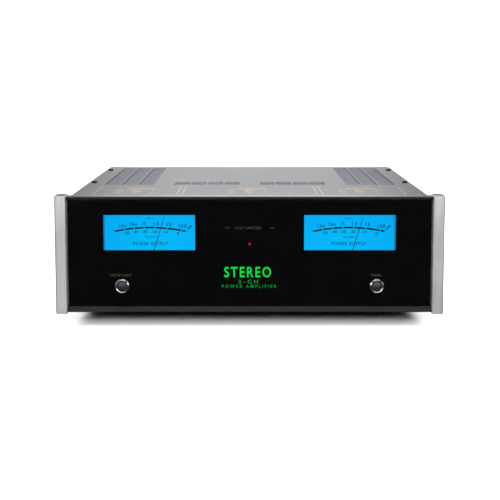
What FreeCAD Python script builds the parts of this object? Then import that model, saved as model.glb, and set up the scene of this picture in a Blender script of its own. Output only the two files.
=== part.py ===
"""Stereo power amplifier with a glass front, two backlit power meters and internal heat sinks.

Frame: +Z up, the front faces -Y, origin on the floor under the middle of the amplifier's box.
All sizes are in millimetres. Depths behind the end caps' front faces are given with at_depth().
"""

import FreeCAD
import Part
import math
import os

V = FreeCAD.Vector
X_AXIS = V(1, 0, 0)
Y_AXIS = V(0, 1, 0)
Z_AXIS = V(0, 0, 1)

# Overall size
TOTAL_WIDTH = 444.5
TOTAL_HEIGHT = 152.4
TOTAL_DEPTH = 490.0
FRONT = -TOTAL_DEPTH / 2


def at_depth(depth):
    """The Y of a plane this far behind the end caps' front faces."""
    return FRONT + depth


# Case
SHEET = 1.5
CASE_HALF_WIDTH = 204.6
CASE_BOTTOM = 17.9
CASE_TOP = 151.2
CASE_FRONT = at_depth(22.0)
CASE_BACK = at_depth(461.0)
FLOOR_TOP = CASE_BOTTOM + SHEET
COVER_UNDERSIDE = CASE_TOP - SHEET
REAR_PANEL_INSIDE = CASE_BACK - SHEET
FLANGE = 12.0
SCREW_INSET = 7.6

# Front panel
CAP_WIDTH = 13.2
CAP_DEPTH = 25.4
CAP_BOTTOM = 15.9
CAP_INSIDE = TOTAL_WIDTH / 2 - CAP_WIDTH
RAIL_FRONT = at_depth(2.4)
GLASS_FRONT = at_depth(8.0)
GLASS_BACK = at_depth(13.0)
MASK_THICKNESS = 0.3
SUBPANEL_FRONT = at_depth(13.5)
SUBPANEL_BACK = at_depth(15.5)
BOARD_FRONT = at_depth(21.0)
TOP_RAIL_FACE = 4.5
BOTTOM_RAIL_FACE = 6.0
RAIL_LIP = 1.6
RAIL_LEG = 5.8
GROOVE_DEPTH = 2.0
FIT_GAP = 0.1

# Top cover: three long vents over each heat sink, and eight short ones in the middle
VENT_WIDTH = 18.6
VENT_PITCH = 21.0
VENT_FRONT = at_depth(156.0)
LONG_VENT_LENGTH = 280.0
SHORT_VENT_LENGTH = 41.7
LONG_VENT_FIRST_X = 130.2
SHORT_VENT_FIRST_X = 22.0
LONG_VENTS = 3
SHORT_VENTS = 4
SCREEN_THICKNESS = 0.8
SCREEN_MARGIN = 4.0
COVER_SCREW_X = CASE_HALF_WIDTH - SCREW_INSET
COVER_SCREW_DEPTHS = (184.0, 386.0)

# Meters
METER_X = 115.0
WINDOW_WIDTH = 105.0
WINDOW_BOTTOM = 88.7
WINDOW_TOP = 129.2
PIVOT_Z = 73.0
HOUSING_FRONT = SUBPANEL_BACK + FIT_GAP
HOUSING_BACK = at_depth(52.0)
HOUSING_WALL = 2.0
HOUSING_SIDE_WALL = 4.1
HOUSING_HALF_WIDTH = 57.0
HOUSING_BOTTOM = 58.0
HOUSING_TOP = 133.0
DIAL_FRONT = at_depth(30.0)
DIAL_THICKNESS = 0.8
DIAL_BOTTOM = 62.0
DIAL_NOTCH_HALF_WIDTH = 13.0
DIAL_NOTCH_TOP = 85.5
POINTER_PLANE = at_depth(27.0)
POINTER_LENGTH = 55.3
POINTER_THICKNESS = 0.4
POINTER_ROOT_WIDTH = 1.1
POINTER_TIP_WIDTH = 0.6
POINTER_TAIL = 10.0
POINTER_ANGLE = 17.3
AXLE_RADIUS = 0.8
BEARING_CLEARANCE = 0.05
CORE_RADIUS = 6.0
COIL_INNER_RADIUS = 6.7
COIL_OUTER_RADIUS = 7.9
YOKE_INNER_RADIUS = 8.6
YOKE_OUTER_RADIUS = 11.0
YOKE_FRONT = at_depth(35.0)
YOKE_BACK = at_depth(45.0)
FRONT_BRIDGE = at_depth(23.0)
REAR_BRIDGE = at_depth(46.4)
BRIDGE_THICKNESS = 1.8

# Push buttons
BUTTON_X = 146.3
BUTTON_Z = 47.4
BEZEL_RADIUS = 8.5
BEZEL_FRONT = at_depth(4.4)
BEZEL_BARREL_RADIUS = 7.0
BEZEL_BORE_RADIUS = 5.95
BEZEL_HOLE_RADIUS = 7.2
BUTTON_RADIUS = 5.75
BUTTON_APEX = at_depth(3.2)
BUTTON_SHOULDER = at_depth(10.0)
BUTTON_DOME_HEIGHT = 1.6
BUTTON_STEM_RADIUS = 2.5
SWITCH_FRONT = at_depth(22.0)
SWITCH_BACK = at_depth(40.0)

# Indicators and the lit name plate behind the glass
GUARD_LAMP_X = 25.7
GUARD_LAMP_Z = 114.6
GUARD_LAMP_WIDTH = 4.9
GUARD_LAMP_HEIGHT = 1.7
STANDBY_LAMP_RADIUS = 1.1
STANDBY_LAMP_Z = 95.8
LOGO_HALF_WIDTH = 36.0
LOGO_BOTTOM = 42.5
LOGO_TOP = 73.5

# Feet
FOOT_RADIUS = 19.0
FOOT_X = 165.0
FOOT_DEPTHS = (114.0, 400.0)
FOOT_RECESS_RADIUS = 5.5
FOOT_RECESS_HEIGHT = 12.0

# Bottom plate's cooling slots
FLOOR_SLOT_LENGTH = 54.0
FLOOR_SLOT_WIDTH = 5.0
SINK_SLOT_X = 155.0
SUPPLY_SLOT_X = 35.0

# Fastenings
SCREW_HOLE_RADIUS = 2.2
SCREW_HEAD_RADIUS = 3.6
SCREW_HEAD_HEIGHT = 2.4
SCREW_SHANK_RADIUS = 1.95
SIDE_SCREW_DEPTHS = (60.0, 240.0, 425.0)
REAR_SCREW_ZS = (34.0, 84.5, 135.0)

# Inside
SINK_BASE_INNER_X = 110.0
SINK_BASE_THICKNESS = 8.0
SINK_TIP_X = 190.0
SINK_FRONT = at_depth(150.0)
SINK_LENGTH = 290.0
SINK_TOP = 143.0
FIN_BOTTOM = 24.0
FIN_COUNT = 25
FIN_THICKNESS = 2.2
DEVICE_COUNT = 8
DEVICE_PITCH = 32.0
DEVICE_FIRST_Y = at_depth(182.0)
DRIVER_BOARD_X = 99.0
RELAY_INNER_X = 81.0
BOARD_THICKNESS = 1.6
TOROID_Y = at_depth(148.0)
TOROID_RADIUS = 84.0
TOROID_BORE = 26.0
TOROID_BOTTOM = 22.4
TOROID_HEIGHT = 82.0
CLAMP_BOLT_RADIUS = 4.0
CAPACITOR_RADIUS = 26.0
CAPACITOR_HEIGHT = 88.0
SUPPLY_BOARD_Z = 34.0

# Rear connectors: X seen in the part's frame, heights above the floor
TERMINAL_XS = (-170.0, -135.0, 135.0, 170.0)
TERMINAL_NAMES = ("left_plus", "left_minus", "right_minus", "right_plus")
TERMINAL_Z = 85.0
STUD_RADIUS = 3.0
BANANA_RADIUS = 2.0
BANANA_DEPTH = 20.0
KNOB_RADIUS = 8.0
KNOB_FRONT = CASE_BACK + 4.4
KNOB_BACK = CASE_BACK + 25.0
SOCKET_XS = (-66.0, -26.0)
XLR_Z = 104.0
XLR_BORE_RADIUS = 9.7
XLR_CORE_RADIUS = 7.8
XLR_INSERT_BACK = at_depth(442.0)
RCA_Z = 55.0
RCA_RADIUS = 4.15
TRIGGER_X = 40.0
TRIGGER_ZS = (104.0, 80.0)
TRIGGER_BORE = 1.8
MODE_SWITCH_X = 6.0
MODE_SWITCH_Z = 80.0
INLET_X = 84.0
INLET_Z = 54.0
FUSE_Z = 108.0


# ---------------------------------------------------------------- small helpers

def box(x0, x1, y0, y1, z0, z1):
    return Part.makeBox(x1 - x0, y1 - y0, z1 - z0, V(x0, y0, z0))


def rod(radius, x, z, y0, y1):
    """A cylinder along Y."""
    return Part.makeCylinder(radius, y1 - y0, V(x, y0, z), Y_AXIS)


def ring(outer, inner, x, z, y0, y1):
    return rod(outer, x, z, y0, y1).cut(rod(inner, x, z, y0 - 1, y1 + 1))


def post(radius, x, y, z0, z1):
    """A cylinder along Z."""
    return Part.makeCylinder(radius, z1 - z0, V(x, y, z0), Z_AXIS)


def outline_face(points):
    return Part.Face(Part.makePolygon(points + [points[0]]))


def turned(profile, x, z):
    """Turns (radius, Y) points about the line along Y through x, z."""
    face = outline_face([V(x + r, y, z) for r, y in profile])
    return face.revolve(V(x, 0, z), Y_AXIS, 360)


def rod_x(radius, x0, x1, y, z):
    """A cylinder along X."""
    return Part.makeCylinder(radius, x1 - x0, V(x0, y, z), X_AXIS)


def hexagon(across_flats, x, z, y0, y1):
    radius = across_flats / math.sqrt(3)
    corners = []
    for k in range(6):
        angle = math.radians(60 * k)
        corners.append(V(x + radius * math.cos(angle), y0, z + radius * math.sin(angle)))
    return outline_face(corners).extrude(V(0, y1 - y0, 0))


def mirrored(shape):
    """The same piece on the other side of the middle plane."""
    return shape.mirror(V(0, 0, 0), X_AXIS)


def joined(shapes):
    first, *rest = shapes
    return first.fuse(rest).removeSplitter() if rest else first


def minus(shape, cutters):
    return shape.cut(Part.makeCompound(cutters))


def rounded_prism(x0, x1, y0, y1, z0, z1, radius):
    """A box along Y with its four long edges rounded."""
    solid = box(x0, x1, y0, y1, z0, z1)
    long_edges = [e for e in solid.Edges if abs(e.tangentAt(e.FirstParameter).y) > 0.9]
    return solid.makeFillet(radius, long_edges)


def wire_run(points, diameter):
    """A wire through the points: straight runs joined by arcs as large as the runs allow."""
    route = [V(*p) for p in points]
    edges = []
    start = route[0]
    for before, corner, after in zip(route, route[1:], route[2:]):
        into = (corner - before).normalize()
        out = (after - corner).normalize()
        turn = into.getAngle(out)
        reach = 0.45 * min((corner - before).Length, (after - corner).Length)
        arc_start = corner - into * reach
        arc_end = corner + out * reach
        bisector = (out - into).normalize()
        radius = reach / math.tan(turn / 2)
        centre = corner + bisector * (radius / math.cos(turn / 2))
        middle = centre - bisector * radius
        edges.append(Part.LineSegment(start, arc_start).toShape())
        edges.append(Part.Arc(arc_start, middle, arc_end).toShape())
        start = arc_end
    edges.append(Part.LineSegment(start, route[-1]).toShape())
    spine = Part.Wire(edges)
    heading = (route[1] - route[0]).normalize()
    section = Part.Wire([Part.Circle(route[0], heading, diameter / 2).toShape()])
    return spine.makePipeShell([section], True, False)


def save(name, *shapes):
    os.makedirs("parts", exist_ok=True)
    solids = [s for shape in shapes for s in shape.Solids]
    body = solids[0] if len(solids) == 1 else Part.makeCompound(solids)
    body.exportStep(f"parts/{name}.step")
    volume = sum(s.Volume for s in solids) / 1000
    print(f"{name}: {len(solids)} solids, {volume:.1f} cm3, valid {body.isValid()}")


# ---------------------------------------------------------------- front panel

def end_cap():
    """The right-hand extruded side cap, which stands in front of the glass."""
    outside = TOTAL_WIDTH / 2
    outer_round = 2.5
    inner_bevel = 0.8
    section = outline_face([
        V(CAP_INSIDE, FRONT + inner_bevel, CAP_BOTTOM),
        V(CAP_INSIDE + inner_bevel, FRONT, CAP_BOTTOM),
        V(outside, FRONT, CAP_BOTTOM),
        V(outside, FRONT + CAP_DEPTH, CAP_BOTTOM),
        V(CAP_INSIDE, FRONT + CAP_DEPTH, CAP_BOTTOM),
    ])
    cap = section.extrude(V(0, 0, TOTAL_HEIGHT - CAP_BOTTOM))
    corner = [
        e for e in cap.Edges
        if all(abs(v.X - outside) < 0.01 and abs(v.Y - FRONT) < 0.01 for v in e.Vertexes)
    ]
    cap = cap.makeFillet(outer_round, corner)
    ends = [
        e for e in cap.Edges
        if all(abs(v.Z - TOTAL_HEIGHT) < 0.01 for v in e.Vertexes)
        or all(abs(v.Z - CAP_BOTTOM) < 0.01 for v in e.Vertexes)
    ]
    return cap.makeChamfer(0.8, ends)


def rail(outer_z, face_height, inward):
    """A grooved rail along one edge of the glass. inward is -1 for the top rail, 1 for the bottom."""
    def point(y, height):
        return V(-CAP_INSIDE, y, outer_z + inward * height)

    edge = 0.8
    groove_front = GLASS_FRONT - FIT_GAP
    groove_back = SUBPANEL_BACK + FIT_GAP
    section = outline_face([
        point(RAIL_FRONT + edge, 0),
        point(CASE_FRONT, 0),
        point(CASE_FRONT, RAIL_LEG),
        point(groove_back, RAIL_LEG),
        point(groove_back, GROOVE_DEPTH),
        point(groove_front, GROOVE_DEPTH),
        point(groove_front, face_height),
        point(RAIL_FRONT, RAIL_LIP),
        point(RAIL_FRONT, edge),
    ])
    return section.extrude(V(2 * CAP_INSIDE, 0, 0))


def button_holes(radius, y0, y1):
    return [rod(radius, side * BUTTON_X, BUTTON_Z, y0, y1) for side in (-1, 1)]


def front_glass():
    half_width = CAP_INSIDE - 0.2
    bottom = CASE_BOTTOM + GROOVE_DEPTH + 0.2
    top = CASE_TOP - GROOVE_DEPTH - 0.2
    slab = box(-half_width, half_width, GLASS_FRONT, GLASS_BACK, bottom, top)
    return minus(slab, button_holes(BEZEL_HOLE_RADIUS, GLASS_FRONT - 1, GLASS_BACK + 1))


def meter_windows(margin, y0, y1):
    half = WINDOW_WIDTH / 2 + margin
    z0 = WINDOW_BOTTOM - margin
    z1 = WINDOW_TOP + margin
    return [box(side * METER_X - half, side * METER_X + half, y0, y1, z0, z1) for side in (-1, 1)]


def lamp_openings(margin, y0, y1):
    """Holes for the two overload lamps and the round standby lamp."""
    half_width = GUARD_LAMP_WIDTH / 2 + margin
    z0 = GUARD_LAMP_Z - GUARD_LAMP_HEIGHT / 2 - margin
    z1 = GUARD_LAMP_Z + GUARD_LAMP_HEIGHT / 2 + margin
    bars = [box(x - half_width, x + half_width, y0, y1, z0, z1) for x in (-GUARD_LAMP_X, GUARD_LAMP_X)]
    return bars + [rod(STANDBY_LAMP_RADIUS + margin, 0, STANDBY_LAMP_Z, y0, y1)]


def glass_mask():
    """The opaque black layer on the back of the glass, open at the meters and lamps."""
    half_width = CAP_INSIDE - 0.4
    bottom = CASE_BOTTOM + GROOVE_DEPTH + 0.4
    top = CASE_TOP - GROOVE_DEPTH - 0.4
    back = GLASS_BACK + MASK_THICKNESS
    film = box(-half_width, half_width, GLASS_BACK, back, bottom, top)
    cutters = button_holes(BEZEL_HOLE_RADIUS + 0.3, GLASS_BACK - 1, back + 1)
    cutters += meter_windows(0, GLASS_BACK - 1, back + 1)
    cutters += lamp_openings(0, GLASS_BACK - 1, back + 1)
    return minus(film, cutters)


def front_subpanel():
    half_width = CAP_INSIDE - 3
    bottom = CASE_BOTTOM + GROOVE_DEPTH + 1
    top = CASE_TOP - GROOVE_DEPTH - 1
    plate = box(-half_width, half_width, SUBPANEL_FRONT, SUBPANEL_BACK, bottom, top)
    y0 = SUBPANEL_FRONT - 1
    y1 = SUBPANEL_BACK + 1
    cutters = button_holes(BEZEL_HOLE_RADIUS, y0, y1)
    cutters += meter_windows(1.0, y0, y1)
    cutters += lamp_openings(0.6, y0, y1)
    cutters.append(box(-LOGO_HALF_WIDTH, LOGO_HALF_WIDTH, y0, y1, LOGO_BOTTOM, LOGO_TOP))
    return minus(plate, cutters)


# ---------------------------------------------------------------- case

def vent_lanes():
    """(X centre, length) of every vent on the right half of the cover."""
    lanes = [(LONG_VENT_FIRST_X + VENT_PITCH * k, LONG_VENT_LENGTH) for k in range(LONG_VENTS)]
    lanes += [(SHORT_VENT_FIRST_X + VENT_PITCH * k, SHORT_VENT_LENGTH) for k in range(SHORT_VENTS)]
    return lanes


def cover_screw_places():
    return [(side * COVER_SCREW_X, at_depth(d)) for side in (-1, 1) for d in COVER_SCREW_DEPTHS]


def through_cover(radius, x, y):
    """A round cutter through the cover and the flanges under it."""
    return post(radius, x, y, COVER_UNDERSIDE - 5, CASE_TOP + 5)


def through_floor(radius, x, y):
    """A round cutter through the bottom plate and the flanges on it."""
    return post(radius, x, y, CASE_BOTTOM - 5, FLOOR_TOP + 5)


def top_cover():
    plate = box(-CASE_HALF_WIDTH, CASE_HALF_WIDTH, CASE_FRONT, CASE_BACK, COVER_UNDERSIDE, CASE_TOP)
    cutters = []
    for x, length in vent_lanes():
        for side in (-1, 1):
            x0 = side * x - VENT_WIDTH / 2
            y1 = VENT_FRONT + length
            cutters.append(box(x0, x0 + VENT_WIDTH, VENT_FRONT, y1, COVER_UNDERSIDE - 1, CASE_TOP + 1))
    cutters += [through_cover(SCREW_HOLE_RADIUS, x, y) for x, y in cover_screw_places()]
    return minus(plate, cutters)


def vent_screens():
    """Fine sheets fixed under the cover, one below each group of vents, with cross slots."""
    slot = 3.0
    slot_pitch = 6.0
    half_slot = (VENT_WIDTH - 3.0) / 2
    screens = []
    groups = (
        (LONG_VENT_FIRST_X, LONG_VENTS, LONG_VENT_LENGTH),
        (SHORT_VENT_FIRST_X, SHORT_VENTS, SHORT_VENT_LENGTH),
    )
    for first, count, length in groups:
        x0 = first - VENT_WIDTH / 2 - SCREEN_MARGIN
        x1 = first + VENT_PITCH * (count - 1) + VENT_WIDTH / 2 + SCREEN_MARGIN
        y0 = VENT_FRONT - SCREEN_MARGIN
        y1 = VENT_FRONT + length + SCREEN_MARGIN
        underside = COVER_UNDERSIDE - SCREEN_THICKNESS
        sheet = box(x0, x1, y0, y1, underside, COVER_UNDERSIDE)
        slots = []
        for k in range(int((length - slot) // slot_pitch)):
            slot_y = VENT_FRONT + slot + slot_pitch * k
            for lane in range(count):
                x = first + VENT_PITCH * lane
                slots.append(box(
                    x - half_slot, x + half_slot, slot_y, slot_y + slot, underside - 1, CASE_TOP,
                ))
        sheet = minus(sheet, slots)
        screens += [sheet, mirrored(sheet)]
    return screens


def side_flange_screws():
    return [(side * COVER_SCREW_X, at_depth(d)) for side in (-1, 1) for d in SIDE_SCREW_DEPTHS]


def rear_screws():
    return [(side * COVER_SCREW_X, z) for side in (-1, 1) for z in REAR_SCREW_ZS]


def side_panel():
    """The right-hand side: a web with inward flanges at the top, bottom and back."""
    inner = CASE_HALF_WIDTH - SHEET
    flange_x = inner - FLANGE
    flange_front = CASE_FRONT + 4
    back = REAR_PANEL_INSIDE
    panel = joined([
        box(inner, CASE_HALF_WIDTH, CASE_FRONT, back, FLOOR_TOP, COVER_UNDERSIDE),
        box(flange_x, inner, flange_front, back, COVER_UNDERSIDE - SHEET, COVER_UNDERSIDE),
        box(flange_x, inner, flange_front, back, FLOOR_TOP, FLOOR_TOP + SHEET),
        box(flange_x, inner, back - SHEET, back, FLOOR_TOP, COVER_UNDERSIDE),
    ])
    cutters = [through_cover(SCREW_HOLE_RADIUS, x, y) for x, y in cover_screw_places()]
    cutters += [through_floor(SCREW_HOLE_RADIUS, x, y) for x, y in side_flange_screws()]
    cutters += [rod(SCREW_HOLE_RADIUS, x, z, back - 5, CASE_BACK) for x, z in rear_screws()]
    return minus(panel, cutters)


def foot_places():
    return [(side * FOOT_X, at_depth(d)) for side in (-1, 1) for d in FOOT_DEPTHS]


def floor_slots(centre_x, first_depth, pitch, rows):
    """Cooling slots through the bottom plate, left and right of the middle."""
    half = FLOOR_SLOT_LENGTH / 2
    slots = []
    for row in range(rows):
        y = at_depth(first_depth + pitch * row)
        for x in (-centre_x, centre_x):
            slots.append(box(x - half, x + half, y, y + FLOOR_SLOT_WIDTH, CASE_BOTTOM - 1, FLOOR_TOP + 1))
    return slots


def bottom_plate():
    plate = box(-CASE_HALF_WIDTH, CASE_HALF_WIDTH, CASE_FRONT, CASE_BACK, CASE_BOTTOM, FLOOR_TOP)
    cutters = floor_slots(SINK_SLOT_X, 162.0, 14.0, 15)
    cutters += floor_slots(SUPPLY_SLOT_X, 262.0, 24.0, 6)
    cutters += [through_floor(SCREW_HOLE_RADIUS, x, y) for x, y in foot_places()]
    cutters += [through_floor(SCREW_HOLE_RADIUS, x, y) for x, y in side_flange_screws()]
    cutters.append(through_floor(CLAMP_BOLT_RADIUS + 0.2, 0, TOROID_Y))
    return minus(plate, cutters)


def rear_panel():
    plate = box(-CASE_HALF_WIDTH, CASE_HALF_WIDTH, REAR_PANEL_INSIDE, CASE_BACK, FLOOR_TOP, COVER_UNDERSIDE)
    y0 = REAR_PANEL_INSIDE - 1
    y1 = CASE_BACK + 1
    cutters = [rod(5.2, x, TERMINAL_Z, y0, y1) for x in TERMINAL_XS]
    for x in SOCKET_XS:
        cutters.append(rod(12.0, x, XLR_Z, y0, y1))
        cutters.append(rod(4.7, x, RCA_Z, y0, y1))
    cutters += [rod(3.3, TRIGGER_X, z, y0, y1) for z in TRIGGER_ZS]
    cutters.append(box(
        MODE_SWITCH_X - 3.2, MODE_SWITCH_X + 3.2, y0, y1, MODE_SWITCH_Z - 6, MODE_SWITCH_Z + 6,
    ))
    cutters.append(box(INLET_X - 14, INLET_X + 14, y0, y1, INLET_Z - 10.2, INLET_Z + 10.2))
    cutters.append(rod(6.6, INLET_X, FUSE_Z, y0, y1))
    cutters += [rod(SCREW_HOLE_RADIUS, x, z, y0, y1) for x, z in rear_screws()]
    return minus(plate, cutters)


def foot(x, y):
    """A round moulded foot with a recess for its screw."""
    body = post(FOOT_RADIUS, x, y, 0, CASE_BOTTOM)
    rims = [e for e in body.Edges if isinstance(e.Curve, Part.Circle)]
    lower = [e for e in rims if e.Curve.Center.z < 1]
    body = body.makeChamfer(2.0, lower)
    recess = post(FOOT_RECESS_RADIUS, x, y, -1, FOOT_RECESS_HEIGHT)
    return minus(body, [recess, post(SCREW_HOLE_RADIUS, x, y, 5, 20)])


def button_head_screw(x, y, z, axis, shank_length=7.0):
    """A screw with its head's underside at x, y, z and its head pointing along the axis."""
    head = Part.makeCylinder(SCREW_HEAD_RADIUS, SCREW_HEAD_HEIGHT)
    upper = [e for e in head.Edges if isinstance(e.Curve, Part.Circle) and e.Curve.Center.z > 0.1]
    head = head.makeFillet(SCREW_HEAD_HEIGHT * 0.62, upper)
    socket_radius = SCREW_HEAD_RADIUS * 0.36
    turns = [math.radians(60 * k) for k in range(6)]
    corners = [V(socket_radius * math.cos(t), socket_radius * math.sin(t), 0.8) for t in turns]
    socket = outline_face(corners).extrude(V(0, 0, SCREW_HEAD_HEIGHT))
    shank = Part.makeCylinder(SCREW_SHANK_RADIUS, shank_length, V(0, 0, -shank_length))
    screw = head.cut(socket).fuse(shank)
    screw.Placement = FreeCAD.Placement(V(x, y, z), FreeCAD.Rotation(Z_AXIS, axis))
    return screw


# ---------------------------------------------------------------- meters

def meter_housing(x):
    """A white light box, open at the front, with ledges that carry the dial."""
    half = HOUSING_HALF_WIDTH
    inner = half - HOUSING_SIDE_WALL
    back = HOUSING_BACK - HOUSING_WALL
    floor = HOUSING_BOTTOM + HOUSING_WALL
    ceiling = WINDOW_TOP + 0.5
    ledge = DIAL_FRONT + DIAL_THICKNESS
    shell = box(x - half, x + half, HOUSING_FRONT, HOUSING_BACK, HOUSING_BOTTOM, HOUSING_TOP)
    return joined([
        shell.cut(box(x - inner, x + inner, HOUSING_FRONT - 1, back, floor, ceiling)),
        box(x - inner, x - inner + 2, ledge, ledge + 3, floor, ceiling),
        box(x + inner - 2, x + inner, ledge, ledge + 3, floor, ceiling),
    ])


def meter_dial(x):
    """The dial plate, notched at its lower edge to clear the movement."""
    half = HOUSING_HALF_WIDTH - HOUSING_SIDE_WALL - 0.2
    notch = DIAL_NOTCH_HALF_WIDTH
    back = DIAL_FRONT + DIAL_THICKNESS
    plate = box(x - half, x + half, DIAL_FRONT, back, DIAL_BOTTOM, WINDOW_TOP + 0.3)
    return plate.cut(box(x - notch, x + notch, DIAL_FRONT - 1, back + 1, DIAL_BOTTOM - 1, DIAL_NOTCH_TOP))


def meter_movement(x):
    """The fixed half of a moving-coil movement: yoke ring, core magnet and two bearing bridges."""
    bearing = AXLE_RADIUS + BEARING_CLEARANCE
    half = YOKE_OUTER_RADIUS
    post_x = (YOKE_INNER_RADIUS + YOKE_OUTER_RADIUS) / 2
    post_radius = 1.1
    housing_wall = HOUSING_BACK - HOUSING_WALL
    pieces = [
        ring(YOKE_OUTER_RADIUS, YOKE_INNER_RADIUS, x, PIVOT_Z, YOKE_FRONT, YOKE_BACK),
        rod(CORE_RADIUS, x, PIVOT_Z, YOKE_FRONT + 1, YOKE_BACK - 1),
    ]
    bores = []
    for y in (FRONT_BRIDGE, REAR_BRIDGE):
        pieces.append(box(x - half, x + half, y, y + BRIDGE_THICKNESS, PIVOT_Z - 2.5, PIVOT_Z + 2.5))
        bores.append(rod(bearing, x, PIVOT_Z, y - 1, y + BRIDGE_THICKNESS + 1))
    for side in (-1, 1):
        arm = sorted((x + side * (CORE_RADIUS - 0.6), x + side * (YOKE_INNER_RADIUS + 0.6)))
        pieces.append(box(arm[0], arm[1], YOKE_FRONT + 3, YOKE_BACK - 3, PIVOT_Z - 1.4, PIVOT_Z + 1.4))
        pieces.append(rod(post_radius, x + side * post_x, PIVOT_Z, FRONT_BRIDGE + 1, YOKE_FRONT + 1))
        pieces.append(rod(post_radius, x + side * post_x, PIVOT_Z, YOKE_BACK - 1, housing_wall))
    return minus(joined(pieces), bores)


def meter_pointer(x):
    """Needle, hub, axle, coil frame and a tail weight that balances the needle about the axle."""
    root = POINTER_ROOT_WIDTH / 2
    tip = POINTER_TIP_WIDTH / 2
    y0 = POINTER_PLANE - POINTER_THICKNESS / 2
    needle = outline_face([
        V(-root, y0, -POINTER_TAIL),
        V(root, y0, -POINTER_TAIL),
        V(tip, y0, POINTER_LENGTH),
        V(-tip, y0, POINTER_LENGTH),
    ]).extrude(V(0, POINTER_THICKNESS, 0))
    imbalance = needle.CenterOfMass.z * needle.Volume
    weight_radius = 2.2
    weight_half = imbalance / (POINTER_TAIL * math.pi * weight_radius**2) / 2
    weight = rod(weight_radius, 0, -POINTER_TAIL, POINTER_PLANE - weight_half, POINTER_PLANE + weight_half)
    hub = rod(2.2, 0, 0, POINTER_PLANE - 1, POINTER_PLANE + 1)
    coil_front = YOKE_FRONT - 0.6
    coil_back = YOKE_BACK + 0.6
    front_axle = rod(AXLE_RADIUS, 0, 0, FRONT_BRIDGE + 0.3, coil_front + 0.5)
    rear_axle = rod(AXLE_RADIUS, 0, 0, coil_back - 0.5, REAR_BRIDGE + BRIDGE_THICKNESS - 0.3)
    coil = box(-1.6, 1.6, coil_front, coil_back, -COIL_OUTER_RADIUS, COIL_OUTER_RADIUS)
    coil = coil.cut(box(-3, 3, coil_front + 1, coil_back - 1, -COIL_INNER_RADIUS, COIL_INNER_RADIUS))
    pointer = joined([needle, weight, hub, front_axle, rear_axle, coil])
    pointer.rotate(V(0, 0, 0), Y_AXIS, POINTER_ANGLE)
    pointer.translate(V(x, 0, PIVOT_Z))
    return pointer


def meter_lamp_board(x):
    """A board of surface-mounted lamps on the light box's back wall."""
    back = HOUSING_BACK - HOUSING_WALL
    front = back - BOARD_THICKNESS
    lamps = []
    for column in range(6):
        for z in (99, 117):
            lamp_x = x - 37.5 + 15 * column
            lamps.append(box(lamp_x - 1.8, lamp_x + 1.8, front - 1.2, front, z - 1.4, z + 1.4))
    return [box(x - 46, x + 46, front, back, 90, 126)] + lamps


# ---------------------------------------------------------------- buttons, lamps, name plate

def button_bezel(x):
    """A bright collar on the glass with a threaded barrel and its lock nut behind the subpanel."""
    bezel = turned([
        (BEZEL_BORE_RADIUS, BEZEL_FRONT + 1.1),
        (BEZEL_BORE_RADIUS + 0.5, BEZEL_FRONT + 0.2),
        (BEZEL_BORE_RADIUS + 0.9, BEZEL_FRONT),
        (BEZEL_RADIUS - 0.9, BEZEL_FRONT + 0.9),
        (BEZEL_RADIUS - 0.2, BEZEL_FRONT + 1.9),
        (BEZEL_RADIUS, BEZEL_FRONT + 2.8),
        (BEZEL_RADIUS, GLASS_FRONT),
        (BEZEL_BARREL_RADIUS, GLASS_FRONT),
        (BEZEL_BARREL_RADIUS, SWITCH_FRONT),
        (BEZEL_BORE_RADIUS, SWITCH_FRONT),
    ], x, BUTTON_Z)
    nut = hexagon(16.0, x, BUTTON_Z, SUBPANEL_BACK, SUBPANEL_BACK + 2.5)
    nut = nut.cut(rod(BEZEL_BARREL_RADIUS, x, BUTTON_Z, SUBPANEL_BACK - 1, SUBPANEL_BACK + 4))
    return [bezel, nut]


def push_button(x):
    """A domed button on a stem that runs back into its switch."""
    dome_start = BUTTON_APEX + BUTTON_DOME_HEIGHT
    dome_radius = (BUTTON_RADIUS**2 + BUTTON_DOME_HEIGHT**2) / (2 * BUTTON_DOME_HEIGHT)
    rim = V(x + BUTTON_RADIUS, dome_start, BUTTON_Z)
    apex = V(x, BUTTON_APEX, BUTTON_Z)
    half_angle = math.asin(BUTTON_RADIUS / dome_radius) / 2
    middle = V(
        x + dome_radius * math.sin(half_angle),
        BUTTON_APEX + dome_radius * (1 - math.cos(half_angle)),
        BUTTON_Z,
    )
    stem_end = SWITCH_FRONT + 6
    corners = [
        rim,
        V(x + BUTTON_RADIUS, BUTTON_SHOULDER, BUTTON_Z),
        V(x + BUTTON_STEM_RADIUS, BUTTON_SHOULDER, BUTTON_Z),
        V(x + BUTTON_STEM_RADIUS, stem_end, BUTTON_Z),
        V(x, stem_end, BUTTON_Z),
        apex,
    ]
    edges = [Part.LineSegment(a, b).toShape() for a, b in zip(corners, corners[1:])]
    edges.append(Part.Arc(apex, middle, rim).toShape())
    return Part.Face(Part.Wire(edges)).revolve(V(x, 0, BUTTON_Z), Y_AXIS, 360)


def button_spring(x):
    """The return spring round the stem, between the button's shoulder and the switch."""
    wire_radius = 0.35
    coil_radius = 4.4
    pitch = 2.0
    length = SWITCH_FRONT - BUTTON_SHOULDER - 2 * wire_radius - 0.2
    helix = Part.makeHelix(pitch, length, coil_radius)
    section = Part.Wire([Part.Circle(V(coil_radius, 0, 0), Y_AXIS, wire_radius).toShape()])
    spring = Part.Wire(helix).makePipeShell([section], True, True)
    spring.Placement = FreeCAD.Placement(
        V(x, BUTTON_SHOULDER + wire_radius + 0.1, BUTTON_Z), FreeCAD.Rotation(Z_AXIS, Y_AXIS))
    return spring


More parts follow.
